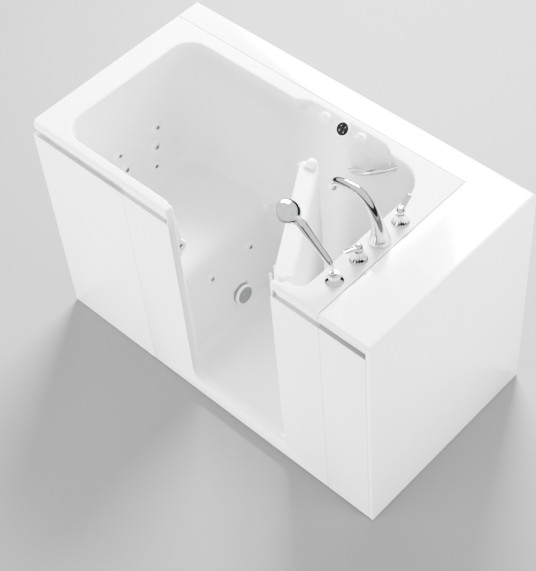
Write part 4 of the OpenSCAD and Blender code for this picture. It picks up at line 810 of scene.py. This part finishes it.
def spout_ring(t):
    """How far out, how high and how thick the spout is, from its foot, 0, to its outlet, 1."""
    sin, cos = math.sin(math.pi * t), math.cos(math.pi * t)
    radius = spout_r + spout_flare * max(0, 1 - 2 * t) ** 4.5
    if t < 0.5:
        return -0.52 * (1 - cos) * spout_reach, spout_rise * sin, radius
    return -(0.52 - 0.48 * cos) * spout_reach, spout_rise - spout_drop * (1 - sin), radius


spout_rings = [(0, -spout_shank, spout_shank_r), (0, 0, spout_shank_r),
               (0, 0.0005, spout_foot_r - 0.0005), (0, 0.0030, spout_foot_r)]
spout_rings += [spout_ring(0.025 + 0.920 * k / 36) for k in range(37)]
spout_rings += [(-0.1865, 0.1235, 0.0152), (-0.1900, 0.1132, 0.0146)]
spout_line = bpy.data.curves.new("spout_casting", "CURVE")
spout_line.dimensions = "3D"
spout_line.bevel_depth = 1.0
spout_line.bevel_resolution = 14
spout_line.use_fill_caps = True
spout_points = spout_line.splines.new("POLY").points
spout_points.add(len(spout_rings) - 1)
for point, (out, rise, radius) in zip(spout_points, spout_rings):
    point.co = (spout_foot.x + out, spout_foot.y, spout_foot.z + rise, 1)
    point.radius = radius
spout = bpy.data.objects.new("spout_casting", spout_line)
bpy.context.scene.collection.objects.link(spout)
select_only(spout)
bpy.ops.object.convert(target="MESH")
spout = bpy.context.view_layer.objects.active
work(spout, "VERT", anywhere, (bpy.ops.mesh.remove_doubles, dict(threshold=0.00005)),
     (bpy.ops.mesh.normals_make_consistent, dict(inside=False)))
# the outlet's bore
work(spout, "FACE", lambda p, normal: normal.z < -0.8 and p.x < spout_foot.x - 0.15
     and p.z < spout_foot.z + 0.1135,
     (bpy.ops.mesh.inset, dict(thickness=0.0025)),
     (bpy.ops.mesh.extrude_region_move, dict(TRANSFORM_OT_translate=dict(value=(0.0045, 0, 0.0115)))))
bpy.ops.object.shade_smooth_by_angle(angle=math.radians(50))
spout.data.materials.clear()
spout.data.materials.append(chrome)
stands_for(spout, "spout")

# The levers and the hand shower: cast and plated as the spout is, with forms that run into each
# other. The hand shower's handle swells from its foot in the deck's holder to the neck.
coarse = 1.0


def flowing(node, paint, grain, passes, *forms):
    """A copy of a node whose forms run into each other, as in a polished casting."""
    made = copy_of(node)
    for test, growth in forms:
        work(made, "VERT", test, (bpy.ops.transform.shrink_fatten, dict(value=growth)))
    finish_with(made, "REMESH", mode="VOXEL", voxel_size=grain)
    finish_with(made, "SMOOTH", factor=0.5, iterations=passes)
    made.data.shade_smooth()
    made.data.materials.clear()
    made.data.materials.append(paint)
    return stands_for(made, node)


flowing("hot_lever", chrome, 0.0011 * coarse, 8)
flowing("cold_lever", chrome, 0.0011 * coarse, 8)
wand_foot = spout_foot + Vector((-0.0115, -0.212, 0.065))
wand_lean = math.radians(48)
wand_axis = Vector((-math.sin(wand_lean), 0, math.cos(wand_lean)))
flowing("shower_handle", chrome, 0.0015 * coarse, 34,
        (lambda p: 0.136 < (p - wand_foot).dot(wand_axis) < 0.166, 0.0050),
        (lambda p: 0.004 < (p - wand_foot).dot(wand_axis) < 0.012, -0.0020))

# The other chrome, turned or bent and plated: the taps' flanges, the holder, the grab bar and the
# waste's trim; and the dull grey plastic that the water comes out of.
spray_plastic = acrylic("spray_plastic", (0.20, 0.205, 0.21), (0.15, 0.15, 0.15), 0.4, 0.0)
for node in ("tap_escutcheons", "shower_holder", "grab_bar", "drain_flange", "drain_stopper",
             "overflow_knob"):
    dressed(node, chrome, ease=0.0010)
for node in ("spout_aerator", "shower_faceplate"):
    dressed(node, spray_plastic, ease=0.0005, steps=2)

# Behind the panels: cast brass valves, copper supplies, and the grey powder-coated frame on its
# zinc-plated levelling feet.
valve_brass = metal("valve_brass", (0.66, 0.48, 0.22), (0.46, 0.34, 0.18), 0.32, 0.25,
                    (90, 90, 90), 0.0004)
supply_copper = metal("supply_copper", (0.74, 0.40, 0.26), (0.48, 0.26, 0.17), 0.24, 0.25,
                      (400, 400, 30), 0.0001)
frame_steel = metal("frame_steel", (0.17, 0.175, 0.19), (0.14, 0.14, 0.15), 0.42, 0.15,
                    (500, 500, 500), 0.0002, False)
foot_steel = metal("foot_steel", (0.52, 0.53, 0.54), (0.42, 0.42, 0.42), 0.34, 0.2,
                   (120, 120, 120), 0.0002)
dressed("tap_valves", valve_brass, ease=0.001)
dressed("supply_pipes", supply_copper, ease=0.0006, steps=2)
for node in ("base_frame", "upper_frame", "seat_supports"):
    dressed(node, frame_steel, ease=0.0018)
dressed("leveling_feet", foot_steel, ease=0.001)
